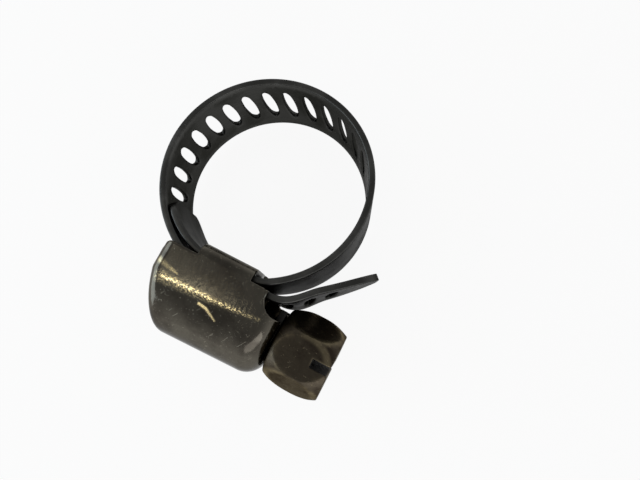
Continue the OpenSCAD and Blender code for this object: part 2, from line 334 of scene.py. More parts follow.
@dataclass(frozen=True)
class SteelFinish:
    """A worn steel surface with grain, stain and scratches.

    Attributes:
        name: Name of the material.
        base: Colour of the clean metal.
        stain: Colour of the darker, browner patches.
        bright: Colour of worn edges and scratches.
        edge_tint: Colour of the metal at a glancing angle.
        roughness: Roughness in the smoothest and the roughest places.
        pattern: Where the pattern's coordinates come from.
        grain: Repeats of the grain per millimetre, along each axis.
        grain_depth: Height of the grain, in millimetres.
        stain_size: Repeats of the stain per millimetre.
        scratch_share: Share of the surface under scratches, 0 to 1.
        wear_name: Name of the mesh attribute that holds edge wear, if there is one.
        marks: Lines of painted highlight, and nicks worn flat and painted bright.
        wear_and_highlight: Colour of the painted highlight in a mark.
        grime: Colour of painted shade in hollows.
        painted_shade_name: Name of the mesh attribute that holds that painted shade, if there is any.
    """

    name: str
    base: Colour
    stain: Colour
    bright: Colour
    edge_tint: Colour
    roughness: Pair
    pattern: Pattern
    grain: Triple
    grain_depth: float
    stain_size: float
    scratch_share: float
    wear_name: str = ""
    marks: tuple[Mark, ...] = ()
    wear_and_highlight: Colour = (0.80, 0.68, 0.40)
    grime: Colour = (0.008, 0.007, 0.006)
    painted_shade_name: str = ""

    # Ranges of the patterns over which stain, dark grain, speckles, worn edges and worn patches come in
    STAIN_RANGE = (0.42, 0.64)
    GRAIN_RANGE = (0.3, 0.75)
    SPECKLE_RANGE = (0.47, 0.60)
    EDGE_RANGE = (0.40, 0.66)
    WORN_RANGE = (0.70, 0.85)
    # How far grain, scratches, edges and worn patches change the colour
    GRAIN_DARK = 0.35
    SCRATCH_BRIGHT = 0.55
    EDGE_BRIGHT = 0.7
    WORN_BRIGHT = 0.2
    # How high scratches and stain stand, next to the grain
    SCRATCH_HEIGHT = -0.7
    STAIN_HEIGHT = 0.8
    # How far grain and stain share the roughness, wear lowers it and the painted shade raises it
    GRAIN_ROUGH = 0.55
    STAIN_ROUGH = 0.45
    WEAR_SMOOTH = 0.08
    PAINTED_SHADE_ROUGH = 0.6
    # Turn and stretch of the two sets of scratches, their fineness, and where their pattern is cut
    SCRATCH_SETS = ((0.5, 0.35), (-0.85, 0.5))
    SCRATCH_FINE = 7.0
    SCRATCH_TOP = 0.80
    SCRATCH_REACH = 0.16
    SCRATCH_EDGE = 0.05
    # Grain of the speckles in a mark, where a mark is worn flat, and which way the flat faces
    SPECKLE_GRAIN = (4.5, 8.0, 8.0)
    FLAT_RANGE = (0.15, 0.6)
    FLAT_FACING = (0.0, -0.02, 1.0)

    def build(self) -> Material:
        """Makes the material.

        Returns:
            The material, ready for a piece.
        """
        material = bpy.data.materials.new(self.name)
        bench = Bench.cleared(material)
        place = self._place(bench)
        grain = self._noise(bench, self._scaled(bench, place, self.grain), detail=4.0, rough=0.6)
        stain = self._noise(bench, place, scale=self.stain_size, detail=5.0, rough=0.62)
        scratch = self._scratches(bench, place)
        wear_and_highlight = self._wear(bench, stain)
        patch = stain.step(*self.STAIN_RANGE)
        colour = bench.mix_colour(patch, self.base, self.stain)
        colour = bench.mix_colour(grain.step(*self.GRAIN_RANGE) * self.GRAIN_DARK, colour, self.stain)
        shine = (scratch * self.SCRATCH_BRIGHT + wear_and_highlight).least(1.0)
        colour = bench.mix_colour(shine, colour, self.bright)
        height = grain + scratch * self.SCRATCH_HEIGHT + stain * self.STAIN_HEIGHT
        bump = bench.node(
            "ShaderNodeBump", None, {"Strength": 1.0, "Distance": self.grain_depth * MM, "Height": height}
        )
        normal = bench.out(bump)
        # Painted highlight: the marks lay a bright golden colour where the lamp's streak falls
        if self.marks:
            painted_highlight, flat = self._marked(bench, place)
            colour = bench.mix_colour(painted_highlight, colour, self.wear_and_highlight)
            normal = self._levelled(bench, normal, flat)
        smooth, rough = self.roughness
        uneven = (grain * self.GRAIN_ROUGH + patch * self.STAIN_ROUGH).span(smooth, rough)
        uneven = uneven - wear_and_highlight * self.WEAR_SMOOTH
        metal_share: Number = 1.0
        # Painted shade: near black, not metallic and rougher where the attribute says
        if self.painted_shade_name:
            painted_shade_mask = Value(bench, bench.attribute(self.painted_shade_name, "Fac"))
            colour = bench.mix_colour(painted_shade_mask, colour, self.grime)
            uneven = (uneven + painted_shade_mask * self.PAINTED_SHADE_ROUGH).least(1.0)
            metal_share = 1.0 - painted_shade_mask
        surface = bench.node(
            "ShaderNodeBsdfPrincipled",
            None,
            {
                "Base Color": colour,
                "Metallic": metal_share,
                "Roughness": uneven,
                "Specular Tint": (*self.edge_tint, 1.0),
                "Normal": normal,
            },
        )
        bench.node("ShaderNodeOutputMaterial", None, {"Surface": bench.out(surface)})
        return material

    def _place(self, bench: Bench) -> Socket:
        """Coordinates in millimetres, from the piece or along the strip."""
        if self.pattern is Pattern.STRIP:
            source = bench.attribute("strip_place", "Vector")
        else:
            source = bench.out(bench.node("ShaderNodeTexCoord"), "Object")
        return self._scaled(bench, source, (1.0 / MM,) * 3)

    @staticmethod
    def _scaled(bench: Bench, place: Socket, by: Triple) -> Socket:
        """Stretches coordinates by a factor on each axis."""
        return bench.vector_math("MULTIPLY", place, by)

    @staticmethod
    def _noise(bench: Bench, place: Socket, detail: float, rough: float, scale: float = 1.0) -> Value:
        """A cloudy pattern from 0 to 1.

        Args:
            bench: Makes the nodes.
            place: Coordinates.
            detail: Number of finer layers.
            rough: Strength of the finer layers.
            scale: Repeats per unit.

        Returns:
            The pattern.
        """
        inputs = {"Vector": place, "Scale": scale, "Detail": detail, "Roughness": rough}
        return Value(bench, bench.out(bench.node("ShaderNodeTexNoise", None, inputs)))

    def _scratches(self, bench: Bench, place: Socket) -> Value:
        """Thin scratches in two directions, 1 in a scratch and 0 beside it."""
        found: Optional[Value] = None
        for turn, stretch in self.SCRATCH_SETS:
            rotation = (turn, turn * 0.6, turn)
            turned = bench.node("ShaderNodeMapping", None, {"Vector": place, "Rotation": rotation})
            fineness = (stretch, self.SCRATCH_FINE, self.SCRATCH_FINE)
            drawn_out = self._scaled(bench, bench.out(turned), fineness)
            lines = self._noise(bench, drawn_out, detail=2.0, rough=0.5)
            top = self.SCRATCH_TOP - self.SCRATCH_REACH * self.scratch_share
            line = lines.step(top - self.SCRATCH_EDGE, top)
            found = line if found is None else found.most(line)
        return found

    def _marked(self, bench: Bench, place: Socket) -> tuple[Number, Number]:
        """Works out what the marks do to the surface.

        Args:
            bench: Makes the nodes.
            place: Coordinates in millimetres.

        Returns:
            How bright the painted highlight is, and how far the surface is worn flat.
        """
        grain = self._scaled(bench, place, self.SPECKLE_GRAIN)
        speckle = self._noise(bench, grain, detail=4.0, rough=0.7).step(*self.SPECKLE_RANGE)
        painted_highlight: Number = 0.0
        flat: Number = 0.0
        for mark in self.marks:
            shape = mark.shape(bench, place)
            if mark.broken:
                shape = shape * (speckle * mark.broken + (1.0 - mark.broken))
            painted_highlight = (shape * mark.wear_and_highlight).most(painted_highlight)
            if mark.flat:
                flat = shape.step(*self.FLAT_RANGE).most(flat)
        return painted_highlight, flat

    @classmethod
    def _levelled(cls, bench: Bench, normal: Socket, flat: Number) -> Socket:
        """Turns the surface level with the side walls where a mark has worn it flat.

        Args:
            bench: Makes the nodes.
            normal: The surface's own direction.
            flat: How far it is worn flat.

        Returns:
            The new direction.
        """
        settings = {"vector_type": "NORMAL", "convert_from": "OBJECT", "convert_to": "WORLD"}
        level = bench.node("ShaderNodeVectorTransform", settings, {"Vector": cls.FLAT_FACING})
        inputs = {"Factor": flat, "A": normal, "B": bench.out(level)}
        mixed = bench.node("ShaderNodeMix", {"data_type": "VECTOR"}, inputs)
        return bench.vector_math("NORMALIZE", bench.out(mixed, "Result"), (0.0, 0.0, 0.0))

    def _wear(self, bench: Bench, stain: Value) -> Value:
        """How far an edge is worn bright, from the mesh's own attribute."""
        if not self.wear_name:
            return stain.step(*self.WORN_RANGE) * self.WORN_BRIGHT
        edge = Value(bench, bench.attribute(self.wear_name, "Fac"))
        return edge * stain.step(*self.EDGE_RANGE) * self.EDGE_BRIGHT


BAND_FINISH = SteelFinish(
    name="dark rolled strip",
    base=(0.061, 0.061, 0.058),
    stain=(0.040, 0.040, 0.037),
    bright=(0.13, 0.13, 0.124),
    edge_tint=(0.35, 0.35, 0.35),
    roughness=(0.34, 0.50),
    pattern=Pattern.STRIP,
    grain=(0.5, 9.0, 9.0),
    grain_depth=0.012,
    stain_size=0.22,
    scratch_share=0.25,
    wear_name="edge_wear",
)
HOUSING_FINISH = SteelFinish(
    name="pressed housing sheet",
    base=(0.115, 0.106, 0.086),
    stain=(0.068, 0.061, 0.050),
    bright=(0.24, 0.22, 0.17),
    edge_tint=(0.6, 0.6, 0.6),
    roughness=(0.08, 0.16),
    pattern=Pattern.OBJECT,
    grain=(5.0, 1.1, 5.0),
    grain_depth=0.008,
    stain_size=0.28,
    scratch_share=0.5,
    marks=(
        # Painted highlight: a broken golden streak along the barrel where the strip lamp reflects, and a
        # softer painted reflection near the back corner
        Mark((-3.7, -11.95, 4.64), (1.2, -11.72, 4.65), 0.75, taper=0.35, wear_and_highlight=1.0, broken=0.95),
        Mark((1.2, -11.72, 4.65), (5.6, -11.3, 4.60), 0.45, taper=0.4, wear_and_highlight=0.9, broken=0.95),
        Mark((-4.6, -10.7, 4.60), (-2.4, -11.1, 4.65), 0.45, taper=0.7, wear_and_highlight=0.6, broken=0.45),
        # A nick worn flat, painted bright as a highlight
        Mark((0.50, -12.42, 4.59), (1.25, -12.52, 4.57), 0.24, taper=0.0, wear_and_highlight=1.0, flat=True),
        Mark((1.25, -12.52, 4.57), (2.35, -13.08, 4.43), 0.24, taper=0.4, wear_and_highlight=1.0, flat=True),
    ),
    # Painted shade on the front wall round the neck
    painted_shade_name="grime",
)
SCREW_FINISH = SteelFinish(
    name="bronzed screw",
    base=(0.078, 0.065, 0.047),
    stain=(0.036, 0.028, 0.021),
    bright=(0.24, 0.20, 0.125),
    edge_tint=(0.5, 0.48, 0.44),
    roughness=(0.30, 0.48),
    pattern=Pattern.OBJECT,
    grain=(1.6, 4.0, 4.0),
    grain_depth=0.02,
    stain_size=0.42,
    scratch_share=0.4,
    wear_name="edge_wear",
    # Painted shade in the depth of the driver slot
    painted_shade_name="grime",
)


# Meshes


@dataclass
class Sheet:
    """Points and faces that are gathered before they become a mesh."""

    points: list[Point] = field(default_factory=list)
    faces: list[tuple[int, ...]] = field(default_factory=list)

    def row(self, points: Iterable[Point]) -> list[int]:
        """Adds a row of points.

        Args:
            points: The row, in order.

        Returns:
            The points' numbers.
        """
        start = len(self.points)
        self.points.extend(points)
        return list(range(start, len(self.points)))

    def band_between(self, a: Sequence[int], b: Sequence[int], closed: bool = False) -> None:
        """Fills the space between two rows of the same length with four-sided faces.

        Args:
            a: First row.
            b: Second row.
            closed: Whether the rows run round to their start.
        """
        count = len(a)
        for i in range(count if closed else count - 1):
            k = (i + 1) % count
            self.faces.append((a[i], a[k], b[k], b[i]))

    def skin(self, rows: Sequence[Sequence[int]]) -> None:
        """Fills the space between each closed row and the next."""
        for a, b in zip(rows, rows[1:]):
            self.band_between(a, b, closed=True)

    def mesh(self, name: str, weld: float = 0.0005) -> Mesh:
        """Makes a mesh in metres, with doubled points merged.

        Args:
            name: Name of the mesh.
            weld: Points closer than this, in millimetres, become one.

        Returns:
            The mesh, smooth shaded.
        """
        mesh = bpy.data.meshes.new(name)
        mesh.from_pydata([(x * MM, y * MM, z * MM) for x, y, z in self.points], [], self.faces)
        edit = bmesh.new()
        edit.from_mesh(mesh)
        bmesh.ops.remove_doubles(edit, verts=edit.verts, dist=weld * MM)
        bmesh.ops.dissolve_degenerate(edit, edges=edit.edges, dist=weld * MM)
        for face in edit.faces:
            face.smooth = True
        edit.to_mesh(mesh)
        edit.free()
        return mesh


class Workshop:
    """Turns meshes and geometry trees into finished pieces."""

    # The last modifier of every piece
    EVEN_SHADING = ("WEIGHTED_NORMAL", {"keep_sharp": False})

    @staticmethod
    def placed(name: str, data: bpy.types.ID) -> bpy.types.Object:
        """Puts a new object in the scene."""
        made = bpy.data.objects.new(name, data)
        bpy.context.scene.collection.objects.link(made)
        return made

    @classmethod
    def baked(cls, maker: bpy.types.Object, name: str) -> Mesh:
        """Turns an object and its modifiers into a plain mesh, and removes the object.

        Args:
            maker: Object with modifiers.
            name: Name of the mesh.

        Returns:
            The plain mesh.
        """
        graph = bpy.context.evaluated_depsgraph_get()
        mesh = bpy.data.meshes.new_from_object(
            maker.evaluated_get(graph), preserve_all_data_layers=True, depsgraph=graph
        )
        mesh.name = name
        bpy.data.objects.remove(maker)
        return mesh

    @staticmethod
    def joined(meshes: Sequence[Mesh], name: str) -> Mesh:
        """Puts meshes together with every face looking outwards.

        Args:
            meshes: The meshes.
            name: Name of the new mesh.

        Returns:
            The new mesh.
        """
        edit = bmesh.new()
        for mesh in meshes:
            edit.from_mesh(mesh)
        bmesh.ops.recalc_face_normals(edit, faces=edit.faces)
        made = bpy.data.meshes.new(name)
        edit.to_mesh(made)
        edit.free()
        return made

    @classmethod
    def grown(cls, tree: "GrowthTree", name: str) -> Mesh:
        """Runs a geometry tree and bakes what it makes.

        Args:
            tree: The tree.
            name: Name of the mesh.

        Returns:
            The plain mesh.
        """
        maker = cls.placed(name + " maker", bpy.data.meshes.new(name + " seed"))
        modifier = maker.modifiers.new("grow", "NODES")
        modifier.node_group = tree.group
        for identifier, value in tree.settings.items():
            modifier[identifier] = value
        return cls.baked(maker, name)

    @classmethod
    def finished(cls, mesh: Mesh, modifiers: Sequence[tuple[str, Mapping[str, Any]]], name: str) -> Mesh:
        """Runs modifiers over a mesh and bakes them in.

        Args:
            mesh: The rough mesh.
            modifiers: Modifier type and settings, in order.
            name: Name of the baked mesh.

        Returns:
            The plain mesh.
        """
        maker = cls.placed(name + " maker", mesh)
        for kind, settings in modifiers:
            modifier = maker.modifiers.new(kind.lower(), kind)
            for key, value in settings.items():
                setattr(modifier, key, value)
        return cls.baked(maker, name)

    @classmethod
    def piece(
        cls, name: str, mesh: Mesh, finish: Material, body: Body, slot: Slot, node: str
    ) -> bpy.types.Object:
        """Shows a mesh in place of a node of the frame.

        Args:
            name: Name of the piece.
            mesh: Its mesh.
            finish: Its material.
            body: Body that it rides on.
            slot: Material slot of the record; not used.
            node: Node that it stands for.

        Returns:
            The piece.
        """
        mesh.materials.clear()
        mesh.materials.append(finish)
        made = cls.placed(name, mesh)
        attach(made, body.value)
        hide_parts(node)
        LOG.info("%s: %d faces, rides on %s", name, len(mesh.polygons), body.value)
        return made


class GrowthTree:
    """A geometry tree with named inputs."""

    SOCKETS = {float: "NodeSocketFloat", int: "NodeSocketInt", bpy.types.Object: "NodeSocketObject"}

    def __init__(self, name: str, values: Mapping[str, Any]) -> None:
        """Starts a tree.

        Args:
            name: Name of the tree.
            values: Input name to its value.
        """
        self.group = bpy.data.node_groups.new(name, "GeometryNodeTree")
        self.bench = Bench(self.group)
        self.settings: dict[str, Any] = {}
        face = self.group.interface
        for key, value in values.items():
            made = face.new_socket(key, in_out="INPUT", socket_type=self.SOCKETS[type(value)])
            self.settings[made.identifier] = value
        face.new_socket("Mesh", in_out="OUTPUT", socket_type="NodeSocketGeometry")
        self._inputs = self.bench.node("NodeGroupInput")

    def socket(self, key: str) -> Socket:
        """The output socket of a named input."""
        return self._inputs.outputs[key]

    def number(self, key: str) -> Value:
        """A named input for sums."""
        return Value(self.bench, self.socket(key))

    def object_mesh(self, key: str) -> Socket:
        """The geometry of a named object input."""
        found = self.bench.node("GeometryNodeObjectInfo", None, {"Object": self.socket(key)})
        return self.bench.out(found, "Geometry")

    def position(self) -> Socket:
        """Where a point is."""
        return self.bench.out(self.bench.node("GeometryNodeInputPosition"))

    def moved(self, geometry: Socket, to: Socket) -> Socket:
        """Puts each point of a geometry somewhere else."""
        inputs = {"Geometry": geometry, "Position": to}
        return self.bench.out(self.bench.node("GeometryNodeSetPosition", None, inputs))

    def stored(self, geometry: Socket, name: str, kind: str, value: Any) -> Socket:
        """Keeps a value at each point under a name.

        Args:
            geometry: Geometry to mark.
            name: Name of the attribute.
            kind: Data type of the attribute.
            value: The value's field.

        Returns:
            The marked geometry.
        """
        settings = {"data_type": kind, "domain": "POINT"}
        inputs = {"Geometry": geometry, "Name": name, "Value": value}
        return self.bench.out(self.bench.node("GeometryNodeStoreNamedAttribute", settings, inputs))

    def close(self, geometry: Socket, finish: Material) -> None:
        """Ends the tree: plain geometry, smooth, with its material.

        Args:
            geometry: What the tree makes.
            finish: The material.
        """
        plain = self.bench.node("GeometryNodeRealizeInstances", None, {"Geometry": geometry})
        smooth = self.bench.node("GeometryNodeSetShadeSmooth", None, {"Geometry": self.bench.out(plain)})
        dressed = self.bench.node(
            "GeometryNodeSetMaterial", None, {"Geometry": self.bench.out(smooth), "Material": finish}
        )
        self.bench.node("NodeGroupOutput", None, {0: self.bench.out(dressed)})


# The clamp's sizes


@dataclass(frozen=True)
class ClampSizes:
    """Sizes that more than one piece shares, in millimetres and degrees.

    Attributes:
        ring_d: Inside diameter of the ring.
        band_w: Width of the strip.
        band_t: Thickness of the strip.
        layer_gap: Gap between two layers of the strip.
        flat_rise: How much nearer the ring's middle the flat lies than the tongue.
        bend_r: Middle radius of the bends at the flat's ends.
        slot_pitch: Distance from slot to slot, and the worm's lead.
        slot_w: Width of a slot.
        mesh_x: Where along X a thread crest stands in a slot.
        wall: Thickness of the housing's sheet.
        side_gap: Gap between the strip and each side wall.
        front_x: Outside of the front wall.
        back_x: Outside of the back wall, on the -X side.
        back_slope: Slope of the back wall's lower part.
        slope_up: How far above the screw's axis that slope starts.
        worm_d: Crest diameter of the worm.
        root_gap: Gap between the worm's root and the strip.
        crest_gap: Gap between the worm's crest and the strip's far face.
        neck_d: Diameter of the neck.
        neck_gap: Radial clearance of the neck.
        end_play: Gap on either side of the front wall.
    """

    ring_d: float = 18.2
    band_w: float = 8.0
    band_t: float = 0.6
    layer_gap: float = 0.05
    flat_rise: float = 0.25
    bend_r: float = 2.0
    slot_pitch: float = 2.08
    slot_w: float = 1.1
    mesh_x: float = 0.2
    wall: float = 0.6
    side_gap: float = 0.05
    front_x: float = 7.15
    back_x: float = 5.1
    back_slope: float = 20.0
    slope_up: float = 0.7
    worm_d: float = 6.4
    root_gap: float = 0.15
    crest_gap: float = 0.15
    neck_d: float = 4.6
    neck_gap: float = 0.08
    end_play: float = 0.15

    @property
    def ring_m(self) -> float:
        """Middle radius of the ring."""
        return self.ring_d / 2 + self.band_t / 2

    @property
    def tongue_m(self) -> float:
        """Middle radius of the tongue inside the ring."""
        return self.ring_m - self.band_t - self.layer_gap

    @property
    def fixed_y(self) -> float:
        """Height of the fixed layer under the worm."""
        return -(self.tongue_m - self.flat_rise)

    @property
    def run_y(self) -> float:
        """Height of the slotted layer under the worm."""
        return self.fixed_y - self.band_t - self.layer_gap

    @property
    def flat_drop(self) -> float:
        """Depth of the centres of the bends at the flat's ends."""
        return -self.fixed_y - self.bend_r

    @property
    def flat_ends(self) -> Pair:
        """How far the flat reaches to the left and to the right."""
        reaches = (r - self.bend_r for r in (self.tongue_m, self.ring_m))
        return tuple(math.sqrt(reach**2 - self.flat_drop**2) for reach in reaches)

    @property
    def worm_r(self) -> float:
        """Crest radius of the worm."""
        return self.worm_d / 2

    @property
    def root_r(self) -> float:
        """Root radius of the worm."""
        return self.worm_r - (self.band_t - self.crest_gap) - self.root_gap

    @property
    def screw_y(self) -> float:
        """Height of the screw's axis."""
        return self.run_y - self.band_t / 2 - self.root_gap - self.root_r

    @property
    def slot_slant(self) -> float:
        """Slant of the slots, in radians: the worm's lead angle at mid reach."""
        return math.atan(self.slot_pitch / (2 * math.pi * (self.worm_r - self.band_t + self.crest_gap)))


# The strip


@dataclass(frozen=True)
class Stretch:
    """One piece of the strip's path: a length in millimetres and the angle that it turns through."""

    length: float
    turn: float

    @classmethod
    def bend(cls, radius: float, turn: float) -> "Stretch":
        """A stretch bent to a radius through an angle in radians."""
        return cls(radius * turn, turn)

    def end_of(self, place: Point, part: float = 1.0) -> Point:
        """Place and heading after a share of the stretch.

        Args:
            place: x, y and heading at its start.
            part: Share of the stretch, 0 to 1.

        Returns:
            x, y and heading there.
        """
        x, y, heading = place
        length, turn = self.length * part, self.turn * part
        if abs(turn) < 1e-9:
            return (x + length * math.cos(heading), y + length * math.sin(heading), heading)
        radius, ahead = length / turn, heading + turn
        return (
            x + radius * (math.sin(ahead) - math.sin(heading)),
            y - radius * (math.cos(ahead) - math.cos(heading)),
            ahead,
        )


@dataclass
class Band:
    """The perforated strip: tongue, flat, ring, slotted end and tail.

    Attributes:
        sizes: The shared sizes.
        tongue_len: Length of the tongue.
        tongue_corner_r: Corner radius at the tongue's end.
        lead_at: Angle round the ring at which the slotted end opens out.
        lead_open: How much larger that stretch's radius is.
        mouth_r: Middle radius of the bend in the housing's mouth.
        tail_back: How far inside the front wall the tail's bend starts.
        tail_bend_r: Middle radius of the tail's bend.
        tail_bend: Angle of the tail's bend.
        tail_r: Middle radius of the tail.
        tail_len: Length of the tail.
        tip_corner_r: Corner radius of the tail's tip.
        slot_len: Length of a slot.
        slot_count: Number of slots.
        tip_plain: Plain length at the tip.
        tail_twist: Angle through which the tail is twisted by its tip, in degrees.
        tail_lift: How far the tail is set towards the ring.
        lift_run: Length over which it is.
        edge_r: Rounding of the strip's edges.
        lip_r: Rounding of the slots' lips.
        slot_waist: Share of the width that a slot loses towards its ends.
        tongue_ease: How much shorter the tongue is than the solid's.
    """

    sizes: ClampSizes
    tongue_len: float = 5.8
    tongue_corner_r: float = 1.6
    lead_at: float = 200.0
    lead_open: float = 1.0
    mouth_r: float = 3.0
    tail_back: float = 1.2
    tail_bend_r: float = 3.0
    tail_bend: float = 39.0
    tail_r: float = 60.0
    tail_len: float = 7.6
    tip_corner_r: float = 2.4
    slot_len: float = 4.7
    slot_count: int = 24
    tip_plain: float = 3.5
    tail_twist: float = 4.2
    tail_lift: float = 0.25
    lift_run: float = 2.5
    edge_r: float = 0.14
    lip_r: float = 0.18
    slot_waist: float = 0.5
    tongue_ease: float = 0.45

    # The straight run's place in the path, and steps along the path and along the plain ends
    RUN_INDEX = 7
    PATH_STEP = 0.06
    PLAIN_STEP = 0.26
    # Reach of the weld between cells, and distances from the edge over which its wear fades
    WELD = 0.002
    WORN_EDGE = (0.05, 0.5)

    def path(self) -> tuple[Point, list[Stretch]]:
        """Works out the strip's middle line.

        Returns:
            The start, as x, y and heading, and the stretches from the tongue's end to the tail's tip.
        """
        s = self.sizes
        flat_left, flat_right = s.flat_ends
        left_turn, right_turn = (math.atan2(end, s.flat_drop) for end in s.flat_ends)
        lead_r = s.ring_m + self.lead_open
        lead_at = math.radians(self.lead_at)
        heading = lead_at + math.pi / 2
        lead_drop = s.run_y - s.ring_m * math.sin(lead_at)
        mouth_turn = math.acos(
            (lead_r * math.cos(heading) - self.mouth_r - lead_drop) / (lead_r - self.mouth_r)
        )
        run_x = (
            s.ring_m * math.cos(lead_at)
            - lead_r * (math.sin(mouth_turn) + math.sin(heading))
            + self.mouth_r * math.sin(mouth_turn)
        )
        start_heading = -left_turn - self.tongue_len / s.tongue_m
        start = (s.tongue_m * math.sin(start_heading), -s.tongue_m * math.cos(start_heading), start_heading)
        stretches = [
            Stretch(self.tongue_len, self.tongue_len / s.tongue_m),
            Stretch.bend(s.bend_r, left_turn),
            Stretch(flat_left + flat_right, 0.0),
            Stretch.bend(s.bend_r, right_turn),
            Stretch.bend(s.ring_m, lead_at + math.pi / 2 - right_turn),
            Stretch.bend(lead_r, 2 * math.pi - heading - mouth_turn),
            Stretch.bend(self.mouth_r, mouth_turn),
            Stretch(s.front_x - s.wall - self.tail_back - run_x, 0.0),
            Stretch.bend(self.tail_bend_r, math.radians(self.tail_bend)),
            Stretch(self.tail_len, self.tail_len / self.tail_r),
        ]
        return start, stretches

    def slot_places(self) -> Pair:
        """Distances along the strip of the first and the last slot."""
        start, stretches = self.path()
        for stretch in stretches[: self.RUN_INDEX]:
            start = stretch.end_of(start)
        before = sum(stretch.length for stretch in stretches[: self.RUN_INDEX])
        total = sum(stretch.length for stretch in stretches)
        meshed = before + self.sizes.mesh_x - start[0]
        ahead = math.floor((total - self.tip_plain - meshed) / self.sizes.slot_pitch)
        last = meshed + ahead * self.sizes.slot_pitch
        return last - (self.slot_count - 1) * self.sizes.slot_pitch, last

    def _path_curve(self) -> bpy.types.Object:
        """The strip's middle line as a curve for the tree to wind along."""
        place, stretches = self.path()
        points = [place]
        for stretch in stretches:
            steps = max(2, math.ceil(stretch.length / self.PATH_STEP))
            points.extend(stretch.end_of(place, k / steps) for k in range(1, steps + 1))
            place = points[-1]
        data = bpy.data.curves.new("strip path", "CURVE")
        data.dimensions = "3D"
        line = data.splines.new("POLY")
        line.points.add(len(points) - 1)
        for point, (x, y, _) in zip(line.points, points):
            point.co = (x * MM, y * MM, 0.0, 1.0)
        return Workshop.placed("strip path", data)

    def _columns(self) -> list[float]:
        """Places across the strip's flat face at which every row has a point."""
        side = self.sizes.band_w / 2 - self.edge_r
        straight = (self.slot_len - self.sizes.slot_w) / 2
        outer = [side + (straight - side) * k / 5 for k in range(5)]
        inner = [straight - 2 * straight * k / 8 for k in range(9)]
        return [*outer, *inner, *(-z for z in reversed(outer))]

    def _edge_turn(self) -> list[Pair]:
        """Section of the +Z edge from the top face to the bottom one, as width and height."""
        half_w, half_t, r = self.sizes.band_w / 2, self.sizes.band_t / 2, self.edge_r
        turn = []
        for centre, start in ((half_t - r, 90.0), (r - half_t, 0.0)):
            for k in range(4):
                angle = math.radians(start - 30.0 * k)
                turn.append((half_w - r + r * math.cos(angle), centre + r * math.sin(angle)))
        return turn

    def _outline(self, grow: float) -> list[Pair]:
        """A slot's outline, grown by a distance, in step with the cell's rim.

        Args:
            grow: How far outside the slot the outline lies.

        Returns:
            Points along and across the strip, from the rim's first corner round.
        """
        slot_w = self.sizes.slot_w
        r, straight = slot_w / 2 + grow, (self.slot_len - slot_w) / 2
        angles = [-60.0 + 12.0 * k for k in range(5)]
        end_angles = [*(-a for a in reversed(angles)), *(60.0 + 7.5 * k for k in range(1, 8))]
        half = [self._on_arc(-straight, r, a) for a in angles]
        half += [(r, -straight + 2 * straight * k / 8) for k in range(9)]
        half += [self._on_arc(straight, r, a) for a in end_angles]
        reach, slant = straight + r, self.sizes.slot_slant
        cos, sin = math.cos(slant), math.sin(slant)
        points: list[Pair] = []
        for side in (1, -1):
            for x, z in half:
                narrowed = side * x * (1.0 - self.slot_waist * (z / reach) ** 2)
                points.append((narrowed * cos + side * z * sin, side * z * cos - narrowed * sin))
        return points

    @staticmethod
    def _on_arc(centre: float, r: float, angle: float) -> Pair:
        """A point of a slot's round end, along and across the strip, at an angle in degrees."""
        turn = math.radians(angle)
        return (r * math.cos(turn), centre + r * math.sin(turn))

    def _rim(self) -> list[Pair]:
        """Rim of one cell's flat face, from its +X, -Z corner round."""
        half_p = self.sizes.slot_pitch / 2
        columns = self._columns()
        side = columns[0]
        across = [half_p - 2 * half_p * k / 8 for k in range(1, 8)]
        rim: list[Pair] = []
        for turn in (1, -1):
            rim.extend((turn * half_p, turn * z) for z in reversed(columns))
            rim.extend((turn * x, turn * side) for x in across)
        return rim

    def _cell(self) -> Mesh:
        """One slot and the strip round it, flat, with rounded lips and edges."""
        sheet = Sheet()
        half_t, r = self.sizes.band_t / 2, self.lip_r
        rim, lip = self._rim(), self._outline(r)
        rings: list[tuple[list[Pair], float]] = []
        for part in (0.0, 0.45, 0.8):
            mixed = [(a[0] + (b[0] - a[0]) * part, a[1] + (b[1] - a[1]) * part) for a, b in zip(rim, lip)]
            rings.append((mixed, half_t))
        for k in range(4):
            angle = math.radians(30.0 * k)
            rings.append((self._outline(r * (1 - math.sin(angle))), half_t - r * (1 - math.cos(angle))))
        rings.extend((ring, -height) for ring, height in reversed(rings[:]))
        rows = [sheet.row((x, height, z) for x, z in ring) for ring, height in rings]
        sheet.skin(rows)
        half_p = self.sizes.slot_pitch / 2
        for side in (1, -1):
            turns = [
                sheet.row((side * (half_p - 2 * half_p * k / 8), h, side * z) for k in range(9))
                for z, h in self._edge_turn()
            ]
            for a, b in zip(turns, turns[1:]):
                sheet.band_between(b, a)
        return sheet.mesh("strip cell")

    def _plain_rows(self, sheet: Sheet, places: Sequence[Pair]) -> None:
        """Adds a plain length of strip, closed by a rounded end at its first place.

        Args:
            sheet: Takes the faces.
            places: Distance along the strip and half width there, from the free end on.
        """
        half_w, half_t = self.sizes.band_w / 2, self.sizes.band_t / 2
        turn = self._edge_turn()
        top = [(z, half_t) for z in self._columns()]
        edge = turn[1:-1]
        loop = [*top, *((-z, h) for z, h in edge), *((-z, -h) for z, h in top), *((z, -h) for z, h in edge)]
        rows = [sheet.row((s, h, z * wide / half_w) for z, h in loop) for s, wide in places]
        sheet.skin(rows)
        count, first = len(top), rows[0]
        under = [first[2 * count + len(turn) - 3 - k] for k in range(count)]
        sheet.band_between(first[:count], under)

    def _ends(self, first: float, last: float, total: float) -> Mesh:
        """The plain lengths at the tongue and at the tip, flat."""
        sheet = Sheet()
        half_p = self.sizes.slot_pitch / 2
        self._plain_rows(sheet, self._tapered(self.tongue_ease, first - half_p, self.tongue_corner_r))
        tip = [(total - s, wide) for s, wide in self._tapered(0.0, total - last - half_p, self.tip_corner_r)]
        self._plain_rows(sheet, tip)
        return sheet.mesh("strip ends")

